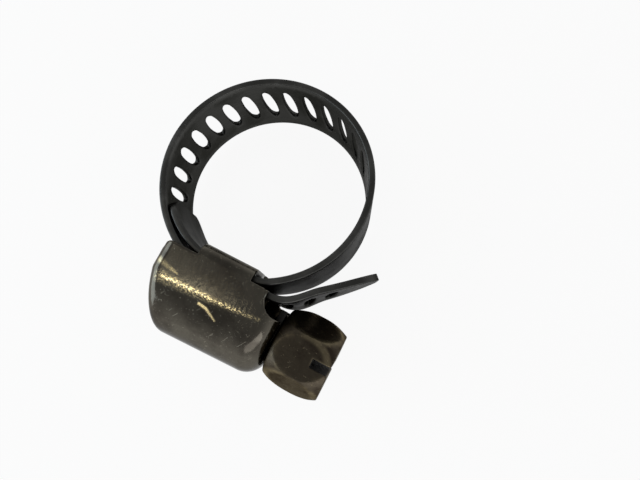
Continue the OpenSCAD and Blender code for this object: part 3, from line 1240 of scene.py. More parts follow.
    def _tapered(self, start: float, end: float, corner_r: float) -> list[Pair]:
        """Places along a plain length whose first end has round corners.

        Args:
            start: The free end.
            end: Where the slots begin.
            corner_r: Corner radius.

        Returns:
            Distance and half width at each place.
        """
        half_w = self.sizes.band_w / 2
        round_part = [corner_r * (1 - math.cos(math.radians(7.5 * k))) for k in range(13)]
        steps = math.ceil((end - start - corner_r) / self.PLAIN_STEP)
        rest = [corner_r + (end - start - corner_r) * k / steps for k in range(1, steps + 1)]
        places = []
        for s in [*round_part, *rest]:
            short = max(0.0, corner_r - s)
            places.append((start + s, half_w - corner_r + math.sqrt(corner_r**2 - short**2)))
        return places

    def _winding(self, finish: Material, values: Mapping[str, Any]) -> GrowthTree:
        """The tree that repeats the cell, joins the ends and winds the strip along its path.

        Args:
            finish: The piece's material.
            values: The tree's named inputs.

        Returns:
            The tree.
        """
        tree = GrowthTree("perforated strip wound along its path", values)
        bench = tree.bench
        line = bench.node(
            "GeometryNodeMeshLine",
            {"mode": "OFFSET"},
            {
                "Count": tree.socket("Count"),
                "Start Location": bench.join(tree.number("First"), 0.0, 0.0),
                "Offset": bench.join(tree.number("Pitch"), 0.0, 0.0),
            },
        )
        inputs = {"Points": bench.out(line), "Instance": tree.object_mesh("Cell")}
        cells = bench.node("GeometryNodeInstanceOnPoints", None, inputs)
        joined = bench.node("GeometryNodeJoinGeometry", None, {0: bench.out(cells)})
        bench.feed(joined.inputs[0], tree.object_mesh("Ends"))
        flat = bench.node("GeometryNodeRealizeInstances", None, {"Geometry": bench.out(joined)})
        inputs = {"Geometry": bench.out(flat), "Distance": self.WELD * MM}
        welded = bench.node("GeometryNodeMergeByDistance", None, inputs)
        along, height, across = bench.split(tree.position())
        marked = tree.stored(bench.out(welded), "strip_place", "FLOAT_VECTOR", tree.position())
        from_edge = tree.number("Half Width") - abs(across)
        wear_and_highlight = 1.0 - from_edge.step(*(reach * MM for reach in self.WORN_EDGE))
        marked = tree.stored(marked, "edge_wear", "FLOAT", wear_and_highlight)
        sampled = bench.node(
            "GeometryNodeSampleCurve",
            {"mode": "LENGTH", "use_all_curves": True},
            {"Curves": tree.object_mesh("Path"), "Length": along},
        )
        on_tail = along - tree.number("Tail Start")
        twisted = (on_tail / tree.number("Tail Length")).most(0.0) * tree.number("Twist")
        lifted = (on_tail / tree.number("Lift Run")).step(0.0, 1.0) * tree.number("Tail Lift")
        height = height - across * twisted + lifted
        inward = bench.vector_math("CROSS_PRODUCT", (0.0, 0.0, 1.0), bench.out(sampled, "Tangent"))
        scaled = bench.out(
            bench.node("ShaderNodeVectorMath", {"operation": "SCALE"}, {"Vector": inward, "Scale": height})
        )
        spot = bench.vector_math("ADD", bench.out(sampled, "Position"), scaled)
        spot = bench.vector_math("ADD", spot, bench.join(0.0, 0.0, across))
        tree.close(tree.moved(marked, spot), finish)
        return tree

    def build(self, finish: Material) -> bpy.types.Object:
        """Makes the strip.

        Args:
            finish: Its material.

        Returns:
            The finished piece.
        """
        first, last = self.slot_places()
        total = sum(stretch.length for stretch in self.path()[1])
        helpers = {
            "Cell": Workshop.placed("strip cell", self._cell()),
            "Ends": Workshop.placed("strip ends", self._ends(first, last, total)),
            "Path": self._path_curve(),
        }
        values = {
            **helpers,
            "Pitch": self.sizes.slot_pitch * MM,
            "First": first * MM,
            "Count": self.slot_count,
            "Half Width": self.sizes.band_w / 2 * MM,
            "Tail Start": (total - self.tail_len) * MM,
            "Tail Length": self.tail_len * MM,
            "Tail Lift": self.tail_lift * MM,
            "Lift Run": self.lift_run * MM,
            "Twist": math.radians(self.tail_twist),
        }
        wound = Workshop.grown(self._winding(finish, values), "wound strip")
        mesh = Workshop.joined([wound], "band")
        for helper in helpers.values():
            bpy.data.objects.remove(helper)
        mesh = Workshop.finished(mesh, [Workshop.EVEN_SHADING], "band")
        return Workshop.piece("perforated_band", mesh, finish, Body.CLAMP, Slot.BAND, "band")


# The housing


@dataclass
class Housing:
    """The pressed housing: vault, mouths, neck hole and two folded tabs.

    Attributes:
        sizes: The shared sizes.
        front_edge_r: Outside edge radius at the front.
        back_edge_r: Outside edge radius at the back.
        dome_gap: Gap between the worm and the dome, at the front.
        back_rise: How much higher the dome stands at the back.
        mouth_gap: Gap between the strip and the mouths' lips.
        front_drop: How far the front's rounded edges are cut down below those lips.
        front_set: How far behind the front end the side walls stop.
        front_cut_r: Corner radius between those two edges.
        tab_len: Length of each tab.
        fold_r: Outside radius of the fold between a side wall and its tab.
        tab_split: Gap between the tabs.
        skirt: How far the side walls stop short of the fixed layer's middle.
        skirt_corner_r: Corner radius of the side walls at the back mouth.
        neck_slot_w: Width of the slot above the neck's hole.
        hole_ease: How much wider the hole is, because the sheet slants at its foot.
        rim_r: Rounding of the sheet's cut rims.
    """

    sizes: ClampSizes
    front_edge_r: float = 2.0
    back_edge_r: float = 1.15
    dome_gap: float = 0.2
    back_rise: float = 0.3
    mouth_gap: float = 0.2
    front_drop: float = 1.05
    front_set: float = 1.95
    front_cut_r: float = 1.5
    tab_len: float = 5.2
    fold_r: float = 1.1
    tab_split: float = 1.2
    skirt: float = 0.3
    skirt_corner_r: float = 0.8
    neck_slot_w: float = 3.4
    hole_ease: float = 0.14
    rim_r: float = 0.09

    # How much thinner the sheet is than the solid's, its weld and the least angle of a rounded rim
    SHEET_EASE = 0.02
    WELD = 0.002
    RIM_ANGLE = 55.0
    # Half height of the back wall's knee, steps round the arch, and shares across the back wall
    KNEE = 0.12
    ARCH_STEPS = 24
    WALL_STEPS = (0.66, 0.33, 0.0)

    @property
    def hole_r(self) -> float:
        """Radius of the neck's hole."""
        return self.sizes.neck_d / 2 + self.sizes.neck_gap + self.hole_ease

    @property
    def half_w(self) -> float:
        """Half width over the side walls."""
        return self.sizes.band_w / 2 + self.sizes.side_gap + self.sizes.wall

    @property
    def inner_z(self) -> float:
        """Half width between the side walls."""
        return self.half_w - self.sizes.wall

    @property
    def dome_y(self) -> float:
        """Height of the front arch's centre."""
        return self.sizes.screw_y - self.sizes.worm_r - self.dome_gap - self.sizes.wall + self.half_w

    @property
    def mouth_y(self) -> float:
        """Height of the mouths' lips."""
        return self.sizes.run_y - self.sizes.band_t / 2 - self.mouth_gap

    @property
    def skirt_y(self) -> float:
        """Height at which the side walls end."""
        return self.sizes.fixed_y - self.skirt

    def rim_y(self, x: float) -> float:
        """Height of the upper rim at a place along X.

        Args:
            x: The place.

        Returns:
            The height, lower where the front is cut back and where the back corner is rounded.
        """
        cut_x, r = self.sizes.front_x - self.front_set, self.front_cut_r
        if x > cut_x + 1e-6:
            inward = max(0.0, cut_x + r - x)
            return self.mouth_y - self.front_drop + r - math.sqrt(r * r - inward * inward)
        corner = self.skirt_corner_r
        short = min(corner, max(0.0, corner - self.sizes.back_x - x))
        return self.skirt_y - corner + math.sqrt(corner * corner - short * short)

    def _tab_ends(self) -> Pair:
        """Where the tabs start and end along X."""
        left, right = self.sizes.flat_ends
        middle = (right - left) / 2
        return middle - self.tab_len / 2, middle + self.tab_len / 2

    def _stations(self) -> list["Station"]:
        """Sections of the vault from the mouths' lips round to the top of the dome."""
        back_dome_y = self.dome_y - self.back_rise
        slope = math.radians(self.sizes.back_slope)
        slope_y = self.sizes.screw_y + self.sizes.slope_up
        knee_y = slope_y + self.back_edge_r * math.tan(slope / 2)
        knee = [(knee_y + self.KNEE * (1 - 2 * k / 3), slope * k / 3) for k in range(4)]
        steps = [(self.mouth_y, 0.0), ((self.mouth_y + knee_y) / 2, 0.0), *knee]
        steps += [((knee_y + back_dome_y - self.KNEE) / 2, slope), (back_dome_y, slope)]
        front_low = self.mouth_y - self.front_drop
        stations = []
        for i, (back_y, lean) in enumerate(steps):
            part = i / (len(steps) - 1)
            front_y = front_low + (self.dome_y - front_low) * part
            stations.append(Station(self, front_y, back_y, 0.0, lean, part))
        for k in range(1, self.ARCH_STEPS + 1):
            turn = math.pi / 2 * k / self.ARCH_STEPS
            stations.append(Station(self, self.dome_y, back_dome_y, turn, slope, 1.0))
        return stations

    def _front_turns(self) -> list[float]:
        """Angles round the front edge, the last three at the lips, the cut's back edge and the barrel."""
        r, cut_x = self.front_cut_r, self.sizes.front_x - self.front_set
        lip_x = cut_x + r - math.sqrt(r * r - (r - self.front_drop) ** 2)
        start_x = self.sizes.front_x - self.front_edge_r
        lip, cut = (math.acos((x - start_x) / self.front_edge_r) for x in (lip_x, cut_x))
        return [*(lip * k / 9 for k in range(9)), lip, cut, math.pi / 2]

    def _back_turns(self) -> list[float]:
        """Shares of the turn round the back edge, one of them where the mouth cuts it."""
        back_in = self.half_w - self.back_edge_r
        cut = math.acos((self.inner_z - back_in) / self.back_edge_r) / (math.pi / 2)
        return [*(cut * k / 5 for k in range(1, 6)), 1.0]

    def _outer_sheet(self) -> Sheet:
        """The outside of the whole pressing, with its cut rims open."""
        sheet = Sheet()
        stations = self._stations()
        tab_start, tab_end = self._tab_ends()
        front_turns, back_turns = self._front_turns(), self._back_turns()
        straight = self._straight_shares(tab_start, tab_end)
        for side in (1.0, -1.0):
            rows = [
                sheet.row(station.row(side, stations[0], front_turns, straight, back_turns))
                for station in stations
            ]
            for a, b in zip(rows, rows[1:]):
                self._fill(sheet, a, b, side)
            begin = len(front_turns) - 2
            end = len(front_turns) + len(straight) + len(back_turns)
            self._side_wall(sheet, rows[0][begin:end], side, (tab_start, tab_end))
            self._horn(sheet, rows[0][:2], side)
        return sheet

    @staticmethod
    def _fill(sheet: Sheet, a: Sequence[int], b: Sequence[int], side: float) -> None:
        """Fills between two rows so that the faces look outwards on either side."""
        if side > 0:
            sheet.band_between(a, b)
        else:
            sheet.band_between(b, a)

    def _straight_shares(self, tab_start: float, tab_end: float) -> list[float]:
        """Shares of the straight barrel at which every row has a point, tabs' ends among them."""
        front = self.sizes.front_x - self.front_edge_r
        back = self.back_edge_r - self.sizes.back_x
        tab = [tab_end + (tab_start - tab_end) * k / 6 for k in range(7)]
        places = [front - (front - tab_end) * k / 3 for k in (1, 2)]
        places += [*tab, *(tab_start + (back - tab_start) * k / 4 for k in (1, 2, 3, 4))]
        return [(front - x) / (front - back) for x in places]

    def _side_wall(self, sheet: Sheet, lip: Sequence[int], side: float, tab: Pair) -> None:
        """Adds a side wall above the mouths' lips, and its folded tab.

        Args:
            sheet: Takes the faces.
            lip: The wall's points at the height of the lips, from front to back.
            side: 1 for the +Z wall, -1 for the other.
            tab: Where the tab starts and ends along X.
        """
        base = [sheet.points[i] for i in lip]
        rows = [list(lip)]
        for part in (0.35, 0.7, 1.0):
            rows.append(
                sheet.row((x, self.mouth_y + (self.rim_y(x) - self.mouth_y) * part, z) for x, _, z in base)
            )
        inside = [i for i, (x, _, _) in enumerate(base) if tab[0] - 0.01 <= x <= tab[1] + 0.01]
        for a, b in zip(rows, rows[1:]):
            self._fill(sheet, b, a, side)
        last = [rows[-1][i] for i in inside]
        for y, z in self._tab_section():
            row = sheet.row((base[i][0], y, side * z) for i in inside)
            self._fill(sheet, row, last, side)
            last = row

    def _horn(self, sheet: Sheet, foot: Sequence[int], side: float) -> None:
        """Adds the part of the front wall that stands beside the neck, above the cut edges.

        Args:
            sheet: Takes the faces.
            foot: The two points that it stands on, at the hole and at the cut.
            side: 1 for the +Z side, -1 for the other.
        """
        s, reach = self.sizes, self.neck_slot_w / 2
        knee = s.screw_y + math.sqrt(self.hole_r**2 - reach**2)
        last = list(foot)
        for y in (knee, (knee + self.mouth_y) / 2, self.mouth_y):
            row = sheet.row((s.front_x, y, side * z) for z in (reach, self.half_w - self.front_edge_r))
            self._fill(sheet, row, last, side)
            last = row

    def _shade_round_neck(self, point: Vector) -> float:
        """Painted shade on the front wall round the neck, 1 there and 0 on the rest of the sheet."""
        flat = self.half_w - self.front_edge_r + self.rim_r
        below = min(0.0, point.y - self.dome_y)
        on_wall = point.x > self.sizes.front_x - self.sizes.wall - self.rim_r
        return float(on_wall and math.hypot(below, point.z) < flat)

    def _tab_section(self) -> list[Pair]:
        """Section of a tab from the side wall over its fold, as height and width."""
        tab_y = self.sizes.fixed_y + self.sizes.band_t / 2
        wall = self.sizes.wall
        fold_y, fold_z = tab_y + wall - self.fold_r, self.half_w - self.fold_r
        section = []
        for k in range(7):
            angle = math.radians(15.0 * k)
            section.append((fold_y + self.fold_r * math.sin(angle), fold_z + self.fold_r * math.cos(angle)))
        reach = self.tab_split / 2
        section += [(tab_y + wall, fold_z + (reach - fold_z) * part) for part in (0.33, 0.66, 1.0)]
        return section

    def build(self, finish: Material) -> bpy.types.Object:
        """Makes the housing.

        Args:
            finish: Its material.

        Returns:
            The finished piece.
        """
        rough = self._outer_sheet().mesh("housing sheet", weld=self.WELD)
        thickness = (self.sizes.wall - self.SHEET_EASE) * MM
        walls = {"thickness": thickness, "offset": -1.0, "use_even_offset": True}
        rims = {
            "width": self.rim_r * MM,
            "segments": 3,
            "limit_method": "ANGLE",
            "angle_limit": math.radians(self.RIM_ANGLE),
            "use_clamp_overlap": False,
        }
        steps = [("SOLIDIFY", walls), ("BEVEL", rims), Workshop.EVEN_SHADING]
        mesh = Workshop.finished(rough, steps, "housing")
        for vertex in mesh.vertices:
            vertex.co.z = max(-self.half_w * MM, min(self.half_w * MM, vertex.co.z))
        # Painted shade round the neck, which the material darkens
        painted_shade_mask = mesh.attributes.new("grime", "FLOAT", "POINT")
        painted_shade_mask.data.foreach_set("value", [self._shade_round_neck(vertex.co / MM) for vertex in mesh.vertices])
        return Workshop.piece("pressed_housing", mesh, finish, Body.CLAMP, Slot.HOUSING, "housing")


@dataclass
class Station:
    """One section of the vault, from the neck's hole over the barrel to the middle of the back wall.

    Attributes:
        housing: The housing that it belongs to.
        front_y: Height of the front edge's centre line, or of the arch's centre past the side walls.
        back_y: The same at the back.
        turn: Angle round the arch, in radians, 0 on the side walls.
        lean: Slope of the back wall here, in radians.
        part: Share of the way from the upper rim down to the arch.
    """

    housing: Housing
    front_y: float
    back_y: float
    turn: float
    lean: float
    part: float

    def _out(self) -> Vector:
        """Which way the barrel faces here, on the +Z side."""
        return Vector((0.0, -math.sin(self.turn), math.cos(self.turn)))

    def _front_centre(self) -> Vector:
        """Centre of the front edge's rounding."""
        h = self.housing
        middle = Vector((h.sizes.front_x - h.front_edge_r, self.front_y, 0.0))
        return middle + self._out() * (h.half_w - h.front_edge_r)

    def _back_centre(self) -> Vector:
        """Centre of the back edge's rounding."""
        h, s = self.housing, self.housing.sizes
        spot = Vector((0.0, self.back_y, 0.0)) + self._out() * (h.half_w - h.back_edge_r)
        slope, slope_y = math.radians(s.back_slope), s.screw_y + s.slope_up
        leaning = (h.back_edge_r - math.sin(slope) * (spot.y - slope_y)) / math.cos(slope)
        spot.x = -s.back_x + max(h.back_edge_r, leaning)
        return spot

    def _hole_reach(self) -> float:
        """Distance of the hole's rim from the arch's centre, along the section."""
        h, hole_r = self.housing, self.housing.hole_r
        offset = self.front_y - h.sizes.screw_y
        if self.turn == 0.0:
            return max(h.neck_slot_w / 2, math.sqrt(max(0.0, hole_r**2 - offset**2)))
        along = offset * math.sin(self.turn)
        return along + math.sqrt(hole_r**2 - offset**2 + along**2)

    def _front_length(self) -> float:
        """Length of the section from the hole's rim to the end of the front edge's rounding."""
        r = self.housing.front_edge_r
        flat = self.housing.half_w - r - self._hole_reach()
        if flat >= 0:
            return flat + r * math.pi / 2
        return r * (math.pi / 2 - math.asin(min(1.0, -flat / r)))

    def _front_point(self, back: float) -> Vector:
        """A point of the front, at a distance back along the section from the barrel.

        Args:
            back: Distance from the end of the rounding towards the hole.

        Returns:
            The point, on the +Z side.
        """
        r, out = self.housing.front_edge_r, self._out()
        round_length = r * math.pi / 2
        if back <= round_length:
            angle = math.pi / 2 - back / r
            ahead = Vector((r * math.cos(angle), 0.0, 0.0))
            return self._front_centre() + ahead + out * (r * math.sin(angle))
        return self._front_centre() + Vector((r, 0.0, 0.0)) - out * (back - round_length)

    def _settled(self, point: Vector) -> Vector:
        """Sets a point of the front at its share of the way from the cut rim down to the arch."""
        if self.turn > 0.0:
            return point
        rim = min(self.housing.mouth_y, self.housing.rim_y(point.x))
        return Vector((point.x, rim + (self.housing.dome_y - rim) * self.part, point.z))

    def row(
        self,
        side: float,
        model: "Station",
        front_turns: Sequence[float],
        straight: Sequence[float],
        back_turns: Sequence[float],
    ) -> list[Point]:
        """Points of the section, from the hole's rim to the middle of the back wall.

        Args:
            side: 1 for the +Z side, -1 for the other.
            model: The section whose spacing the others follow.
            front_turns: Angles round the front edge, in the model section.
            straight: Shares of the straight barrel.
            back_turns: Shares of the turn round the back edge.

        Returns:
            The points.
        """
        h, out = self.housing, self._out()
        stretch = self._front_length() / model._front_length()
        reach = [model._front_length(), *(h.front_edge_r * (math.pi / 2 - turn) for turn in front_turns)]
        points = [self._settled(self._front_point(length * stretch)) for length in reach]
        start, centre = points[-1], self._back_centre()
        end = centre + out * h.back_edge_r
        points += [start.lerp(end, share) for share in straight]
        facing = Vector((-math.cos(self.lean), -math.sin(self.lean), 0.0))
        points += [centre + out.slerp(facing, share) * h.back_edge_r for share in back_turns]
        rim = points[-1]
        points += [Vector((rim.x, rim.y, rim.z * share)) for share in h.WALL_STEPS]
        return [(p.x, p.y, side * p.z) for p in points]


# The screw


@dataclass
class WormScrew:
    """The screw: tapered tip, worm, neck and slotted hex head.

    Attributes:
        sizes: The shared sizes.
        mesh_gap: Gap between the thread's flanks and the slots.
        flank: Slope of the flanks.
        core_chamfer: Chamfer of the core behind the front wall.
        hex_af: Size of the hex across its flats.
        head_len: Length of the head.
        barrel_r: Profile radius that rounds the hex at both ends.
        head_turn: Turn of the head and its slot about the axis, in degrees.
        driver_w: Width of the driver slot.
        driver_depth: Depth of the driver slot.
        pilot_len: Length of the plain tip.
        tip_gap: Gap between the tip and the back wall.
        edge_r: Rounding of the head's edges.
        voxel: Step of the head's sampling.
    """

    sizes: ClampSizes
    mesh_gap: float = 0.15
    flank: float = 20.0
    core_chamfer: float = 0.4
    hex_af: float = 6.4
    head_len: float = 5.35
    barrel_r: float = 5.9
    head_turn: float = 5.0
    driver_w: float = 0.8
    driver_depth: float = 1.7
    pilot_len: float = 0.8
    tip_gap: float = 0.3
    edge_r: float = 0.12
    voxel: float = 0.055

    # The thread foot's depth in the core, the turned part's sides, the ribbon's points across and a turn
    ROOT_SINK = 0.2
    TURNED_SIDES = 72
    RIBBON_POINTS = 15
    RIBBON_STEPS = 60
    # Share of a flank's width over which it rises, and the head's grid past its faces, in steps
    FLANK_RANGE = (-0.1, 1.05)
    GRID_MARGIN = 3.0
    # Roundings of the tip and of the core's start, as distances along and out
    TIP_ROUND = ((0.0, -0.15), (0.04, -0.04), (0.12, 0.0))
    CORE_ROUND = ((0.0, -0.02), (0.1, 0.0))
    # Distances from the head's edges over which their wear fades, and depth at which the driver slot is
    # painted fully dark as shade
    WORN_EDGE = (0.02, 0.22)
    PAINTED_SHADE_DEPTH = 0.3

    @property
    def head_x(self) -> float:
        """Where the head starts."""
        return self.sizes.front_x + self.sizes.end_play

    @property
    def core_end(self) -> float:
        """Where the worm's core ends, behind the front wall."""
        return self.sizes.front_x - self.sizes.wall - self.sizes.end_play

    @property
    def pilot_r(self) -> float:
        """Radius at the tip's end."""
        return self.sizes.root_r - self.pilot_len / 2

    @property
    def core_start(self) -> float:
        """Where the worm's core starts, past the tapered tip."""
        s = self.sizes
        slope = math.radians(s.back_slope)
        wall_x = -s.back_x + (s.wall + math.sin(slope) * (self.pilot_r + s.slope_up)) / math.cos(slope)
        return wall_x + self.tip_gap + self.pilot_len

    def _shank(self) -> Mesh:
        """The turned part: tip, core and neck."""
        s = self.sizes
        root_r, neck_r = s.root_r, s.neck_d / 2
        tip_x = self.core_start - self.pilot_len
        profile = [
            (tip_x, 0.0),
            *((tip_x + along, self.pilot_r + out) for along, out in self.TIP_ROUND),
            *((self.core_start + along, root_r + out) for along, out in self.CORE_ROUND),
            (self.core_end - self.core_chamfer, root_r),
            (self.core_end, (root_r + neck_r) / 2),
            (self.core_end, neck_r),
            (self.head_x + self.head_len / 4, neck_r),
            (self.head_x + self.head_len / 4, 0.0),
        ]
        sheet = Sheet()
        turns = [math.radians(360.0 * k / self.TURNED_SIDES) for k in range(self.TURNED_SIDES)]
        rows = [
            sheet.row((x, s.screw_y + r * math.cos(a), r * math.sin(a)) for a in turns) for x, r in profile
        ]
        sheet.skin(rows)
        return sheet.mesh("shank")

    def _thread_tree(self, finish: Material, values: Mapping[str, Any]) -> GrowthTree:
        """The tree that winds a flat ribbon into the worm's thread.

        Args:
            finish: The piece's material.
            values: The tree's named inputs.

        Returns:
            The tree.
        """
        tree = GrowthTree("worm thread", values)
        bench = tree.bench
        size = {"Size X": 1.0, "Size Y": 2.0}
        counts = {"Vertices X": tree.socket("Steps"), "Vertices Y": self.RIBBON_POINTS}
        grid = bench.node("GeometryNodeMeshGrid", None, {**size, **counts})
        share, across, _ = bench.split(tree.position())
        start, end = tree.number("Start"), tree.number("End")
        turn_x = start + (share + 0.5) * (end - start)
        along = across * tree.number("Buried Half")
        from_end = (turn_x - start).least(end - turn_x)
        fade = (from_end / tree.number("Fade")).least(1.0)
        half, low = tree.number("Buried Half"), tree.number("Buried Radius")
        slope = (half - abs(along)) / (half - tree.number("Crest Half"))
        rise = slope.least(1.0).step(*self.FLANK_RANGE) * fade
        radius = low + (tree.number("Crest Radius") - low) * rise
        angle = (turn_x - tree.number("Meets Slot At")) / tree.number("Lead") * (2 * math.pi)
        height = tree.number("Axis Height") + radius * angle.cosine()
        spot = bench.join(turn_x + along, height, radius * angle.sine())
        tree.close(tree.moved(bench.out(grid, "Mesh"), spot), finish)
        return tree

    def _thread(self, finish: Material) -> Mesh:
        """The worm's thread."""
        s = self.sizes
        reach = s.band_t - s.crest_gap
        slope = math.tan(math.radians(self.flank))
        crest_half = s.slot_w / 2 - self.mesh_gap - reach * slope
        buried_r = s.root_r - self.ROOT_SINK
        buried_half = crest_half + (s.worm_r - buried_r) * slope
        start, end = self.core_start + buried_half, self.core_end - self.core_chamfer - buried_half
        values = {
            "Start": start * MM,
            "End": end * MM,
            "Axis Height": s.screw_y * MM,
            "Lead": s.slot_pitch * MM,
            "Meets Slot At": s.mesh_x * MM,
            "Buried Radius": buried_r * MM,
            "Crest Radius": s.worm_r * MM,
            "Buried Half": buried_half * MM,
            "Crest Half": crest_half * MM,
            "Fade": s.slot_pitch / 4 * MM,
            "Steps": math.ceil((end - start) / s.slot_pitch * self.RIBBON_STEPS),
        }
        return Workshop.grown(self._thread_tree(finish, values), "worm thread")

    def _head_tree(self, finish: Material, values: Mapping[str, Any]) -> GrowthTree:
        """The tree that samples the head's rule on a grid and skins it.

        Args:
            finish: The piece's material.
            values: The tree's named inputs.

        Returns:
            The tree.
        """
        tree = GrowthTree("hex head", values)
        bench = tree.bench
        far, near, slot = self._distances(tree)
        edge, voxel = tree.number("Edge"), tree.number("Voxel")
        body = far.soft_most(near.soft_most(slot, edge), edge)
        margin = self.GRID_MARGIN * voxel
        reach = tree.number("Half Corners") + margin
        start, axis = tree.number("Start"), tree.number("Axis Height")
        low = (start - margin, axis - reach, -reach)
        high = (start + tree.number("Length") + margin, axis + reach, reach)
        counts = [(b - a) / voxel for a, b in zip(low, high)]
        volume = bench.node(
            "GeometryNodeVolumeCube",
            None,
            {
                "Density": 1.0 - body / voxel,
                "Min": bench.join(*low),
                "Max": bench.join(*high),
                "Resolution X": counts[0],
                "Resolution Y": counts[1],
                "Resolution Z": counts[2],
            },
        )
        skin = bench.node(
            "GeometryNodeVolumeToMesh",
            {"resolution_mode": "GRID"},
            {"Volume": bench.out(volume), "Threshold": 1.0, "Adaptivity": 0.0},
        )
        worn = 1.0 - abs(far - near.most(slot)).step(*(reach * MM for reach in self.WORN_EDGE))
        marked = tree.stored(bench.out(skin), "edge_wear", "FLOAT", worn)
        # Painted shade, darker deeper in the driver slot
        painted_shade_mask = (slot - far.most(near)).step(0.0, self.PAINTED_SHADE_DEPTH * MM)
        marked = tree.stored(marked, "grime", "FLOAT", painted_shade_mask)
        tree.close(marked, finish)
        return tree

    def _distances(self, tree: GrowthTree) -> tuple[Value, Value, Value]:
        """How far a point lies outside the hex, outside the barrel with its ends, and inside the driver slot.

        Args:
            tree: The head's tree.

        Returns:
            The three distances.
        """
        bench = tree.bench
        x, y, z = bench.split(tree.position())
        x, y = x - tree.number("Start"), y - tree.number("Axis Height")
        cos, sin = math.cos(math.radians(self.head_turn)), math.sin(math.radians(self.head_turn))
        y, z = y * cos + z * sin, z * cos - y * sin
        edge = tree.number("Edge")
        tilt = math.sin(math.radians(60.0))
        flats = abs(z).soft_most(abs(y * tilt + z * 0.5), edge)
        flats = flats.soft_most(abs(y * tilt - z * 0.5), edge) - tree.number("Half Flats")
        depth = x - (tree.number("Length") - tree.number("Driver Depth"))
        slot = (tree.number("Driver Half") - abs(y)).least(depth)
        half = tree.number("Length") / 2.0
        middle = x - half
        out = (y * y + z * z).root() - (tree.number("Half Corners") - tree.number("Barrel Radius"))
        barrel = (out * out + middle * middle).root() - tree.number("Barrel Radius")
        ends = abs(middle) - half
        return flats, barrel.soft_most(ends, edge), slot

    def _head(self, finish: Material) -> Mesh:
        """The head, with its edges rubbed round."""
        values = {
            "Start": self.head_x * MM,
            "Length": self.head_len * MM,
            "Axis Height": self.sizes.screw_y * MM,
            "Half Flats": self.hex_af / 2 * MM,
            "Half Corners": self.hex_af / 2 / math.cos(math.radians(30.0)) * MM,
            "Barrel Radius": self.barrel_r * MM,
            "Driver Half": self.driver_w / 2 * MM,
            "Driver Depth": self.driver_depth * MM,
            "Edge": self.edge_r * MM,
            "Voxel": self.voxel * MM,
        }
        return Workshop.grown(self._head_tree(finish, values), "hex head")

    def build(self, finish: Material) -> bpy.types.Object:
        """Makes the screw.

        Args:
            finish: Its material.

        Returns:
            The finished piece.
        """
        mesh = Workshop.joined([self._shank(), self._thread(finish), self._head(finish)], "worm screw")
        mesh = Workshop.finished(mesh, [Workshop.EVEN_SHADING], "worm screw")
        return Workshop.piece("worm_screw_dressed", mesh, finish, Body.SCREW, Slot.SCREW, "worm_screw")


# The table, light and camera


@dataclass(frozen=True)
class SoftLamp:
    """An area lamp that points at a spot.

    Attributes:
        name: Name of the lamp.
        place: Where it is, in millimetres.
        aim: Where it points.
        size: Its two sides, in millimetres.
        level: Brightness of its face.
        colour: Colour of its light.
        roll: Turn about its own axis, in degrees.
    """

    name: str
    place: Point
    aim: Point
    size: Pair
    level: float
    colour: Colour
    roll: float = 0.0

    def build(self) -> None:
        """Puts the lamp in the scene."""
        data = bpy.data.lights.new(self.name, "AREA")
        data.shape = "RECTANGLE"
        data.size, data.size_y = self.size[0] * MM, self.size[1] * MM
        data.energy = self.level * data.size * data.size_y * math.pi
        data.color = self.colour
        lamp = Workshop.placed(self.name, data)
        way = Vector(self.aim) - Vector(self.place)
        aimed = way.to_track_quat("-Z", "Y").to_matrix().to_4x4()
        rolled = Matrix.Rotation(math.radians(self.roll), 4, "Z")
        lamp.matrix_world = Matrix.Translation(Vector(self.place) * MM) @ (aimed @ rolled)
        LOG.info("lamp: %s", self.name)


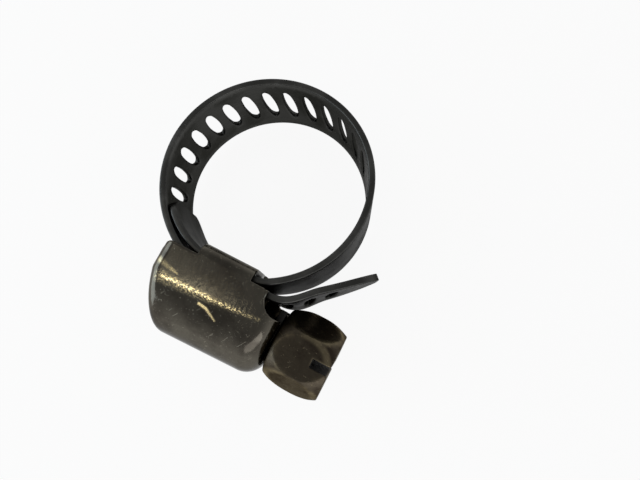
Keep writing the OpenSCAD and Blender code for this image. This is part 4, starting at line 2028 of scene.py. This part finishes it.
@dataclass(frozen=True)
class Studio:
    """White table, soft lamps and the camera of the photograph.

    Attributes:
        floor_z: Height of the table.
        floor_size: Side of the table.
        camera_place: Where the camera is.
        camera_turn: Its rotation about X, Y and Z, in degrees.
        lens: Focal length on a 36 mm sensor.
        sky: Brightness of the surroundings overhead and at the horizon.
        lamps: The lamps.
    """

    floor_z: float
    floor_size: float
    camera_place: Point
    camera_turn: Point
    lens: float
    sky: Pair
    lamps: tuple[SoftLamp, ...]

    # The table's own white, how far it shows as plain white, and how high the sky's fade reaches
    FLOOR_WHITE = 0.9
    FLOOR_GLOW = 0.92
    SKY_RANGE = (0.0, 0.9)
    # The camera's sensor in millimetres, and the nearest distance that it sees, in metres
    SENSOR = 36.0
    NEAREST = 0.001

    def build(self) -> None:
        """Puts the whole studio in the scene."""
        self._floor()
        self._sky()
        self._camera()
        for lamp in self.lamps:
            lamp.build()
        bpy.context.scene.view_settings.view_transform = "Standard"

    @staticmethod
    def _seen(bench: Bench) -> Value:
        """1 for rays that show the background itself, in the view or in a reflection."""
        path = bench.node("ShaderNodeLightPath")
        seen = bench.value(path, "Is Camera Ray").most(bench.value(path, "Is Glossy Ray"))
        return seen.most(bench.value(path, "Is Transmission Ray"))

    def _floor(self) -> None:
        """The table: white where it is seen, with the object's shadow kept."""
        half = self.floor_size / 2 * MM
        mesh = bpy.data.meshes.new("table")
        corners = [(-half, -half), (half, -half), (half, half), (-half, half)]
        mesh.from_pydata([(x, y, self.floor_z * MM) for x, y in corners], [], [(0, 1, 2, 3)])
        material = bpy.data.materials.new("white table")
        bench = Bench.cleared(material)
        matte = bench.node("ShaderNodeBsdfDiffuse", None, {"Color": (*(self.FLOOR_WHITE,) * 3, 1.0)})
        glow = bench.node("ShaderNodeEmission", None, {"Color": (1.0, 1.0, 1.0, 1.0), "Strength": 1.0})
        share = self._seen(bench) * self.FLOOR_GLOW
        mixed = bench.node("ShaderNodeMixShader", None, {0: share, 1: bench.out(matte), 2: bench.out(glow)})
        bench.node("ShaderNodeOutputMaterial", None, {"Surface": bench.out(mixed)})
        mesh.materials.append(material)
        floor = Workshop.placed("table", mesh)

    def _sky(self) -> None:
        """Even surroundings, darker overhead."""
        world = bpy.data.worlds.new("surroundings")
        bpy.context.scene.world = world
        bench = Bench.cleared(world)
        direction = bench.out(bench.node("ShaderNodeTexCoord"), "Generated")
        height = bench.split(direction)[2]
        overhead, horizon = self.sky
        level = height.step(*self.SKY_RANGE)
        colour = bench.mix_colour(level, (horizon,) * 3, (overhead,) * 3)
        light = bench.node("ShaderNodeBackground", None, {"Color": colour, "Strength": 1.0})
        bench.node("ShaderNodeOutputWorld", None, {"Surface": bench.out(light)})

    def _camera(self) -> None:
        """The camera where the photograph was taken from."""
        data = bpy.data.cameras.new("camera")
        data.lens = self.lens
        data.sensor_width = self.SENSOR
        data.clip_start = self.NEAREST
        camera = Workshop.placed("camera", data)
        camera.location = Vector(self.camera_place) * MM
        camera.rotation_euler = [math.radians(angle) for angle in self.camera_turn]
        bpy.context.scene.camera = camera


STUDIO = Studio(
    floor_z=-4.65,
    floor_size=3000.0,
    camera_place=(13.202, -9.846, 44.113),
    camera_turn=(12.589, 3.3925, 27.3812),
    lens=27.0,
    sky=(0.30, 0.79),
    lamps=(
        SoftLamp(
            name="strip",
            place=(-73.0, -26.5, 196.0),
            aim=(0.0, -11.0, 4.0),
            size=(44.0, 8.0),
            level=5.6,
            colour=(1.0, 0.93, 0.76),
            roll=90.0,
        ),
        SoftLamp(
            name="glow",
            place=(-100.0, -34.0, 190.0),
            aim=(0.0, -11.0, 4.0),
            size=(60.0, 80.0),
            level=0.3,
            colour=(1.0, 0.97, 0.86),
            roll=90.0,
        ),
        SoftLamp(
            name="fill",
            place=(130.0, -150.0, 80.0),
            aim=(0.0, -8.0, 0.0),
            size=(220.0, 90.0),
            level=1.35,
            colour=(0.98, 0.98, 1.0),
        ),
        SoftLamp(
            name="window",
            place=(-170.0, -90.0, 68.0),
            aim=(0.0, -10.0, 0.0),
            size=(230.0, 140.0),
            level=2.0,
            colour=(0.76, 0.88, 1.0),
        ),
    ),
)


def main() -> None:
    """Builds the clamp and the studio."""
    logging.basicConfig(level=logging.INFO, format="%(name)s: %(message)s")
    sizes = ClampSizes()
    Band(sizes).build(BAND_FINISH.build())
    Housing(sizes).build(HOUSING_FINISH.build())
    WormScrew(sizes).build(SCREW_FINISH.build())
    STUDIO.build()


if __name__ == "__main__":
    main()
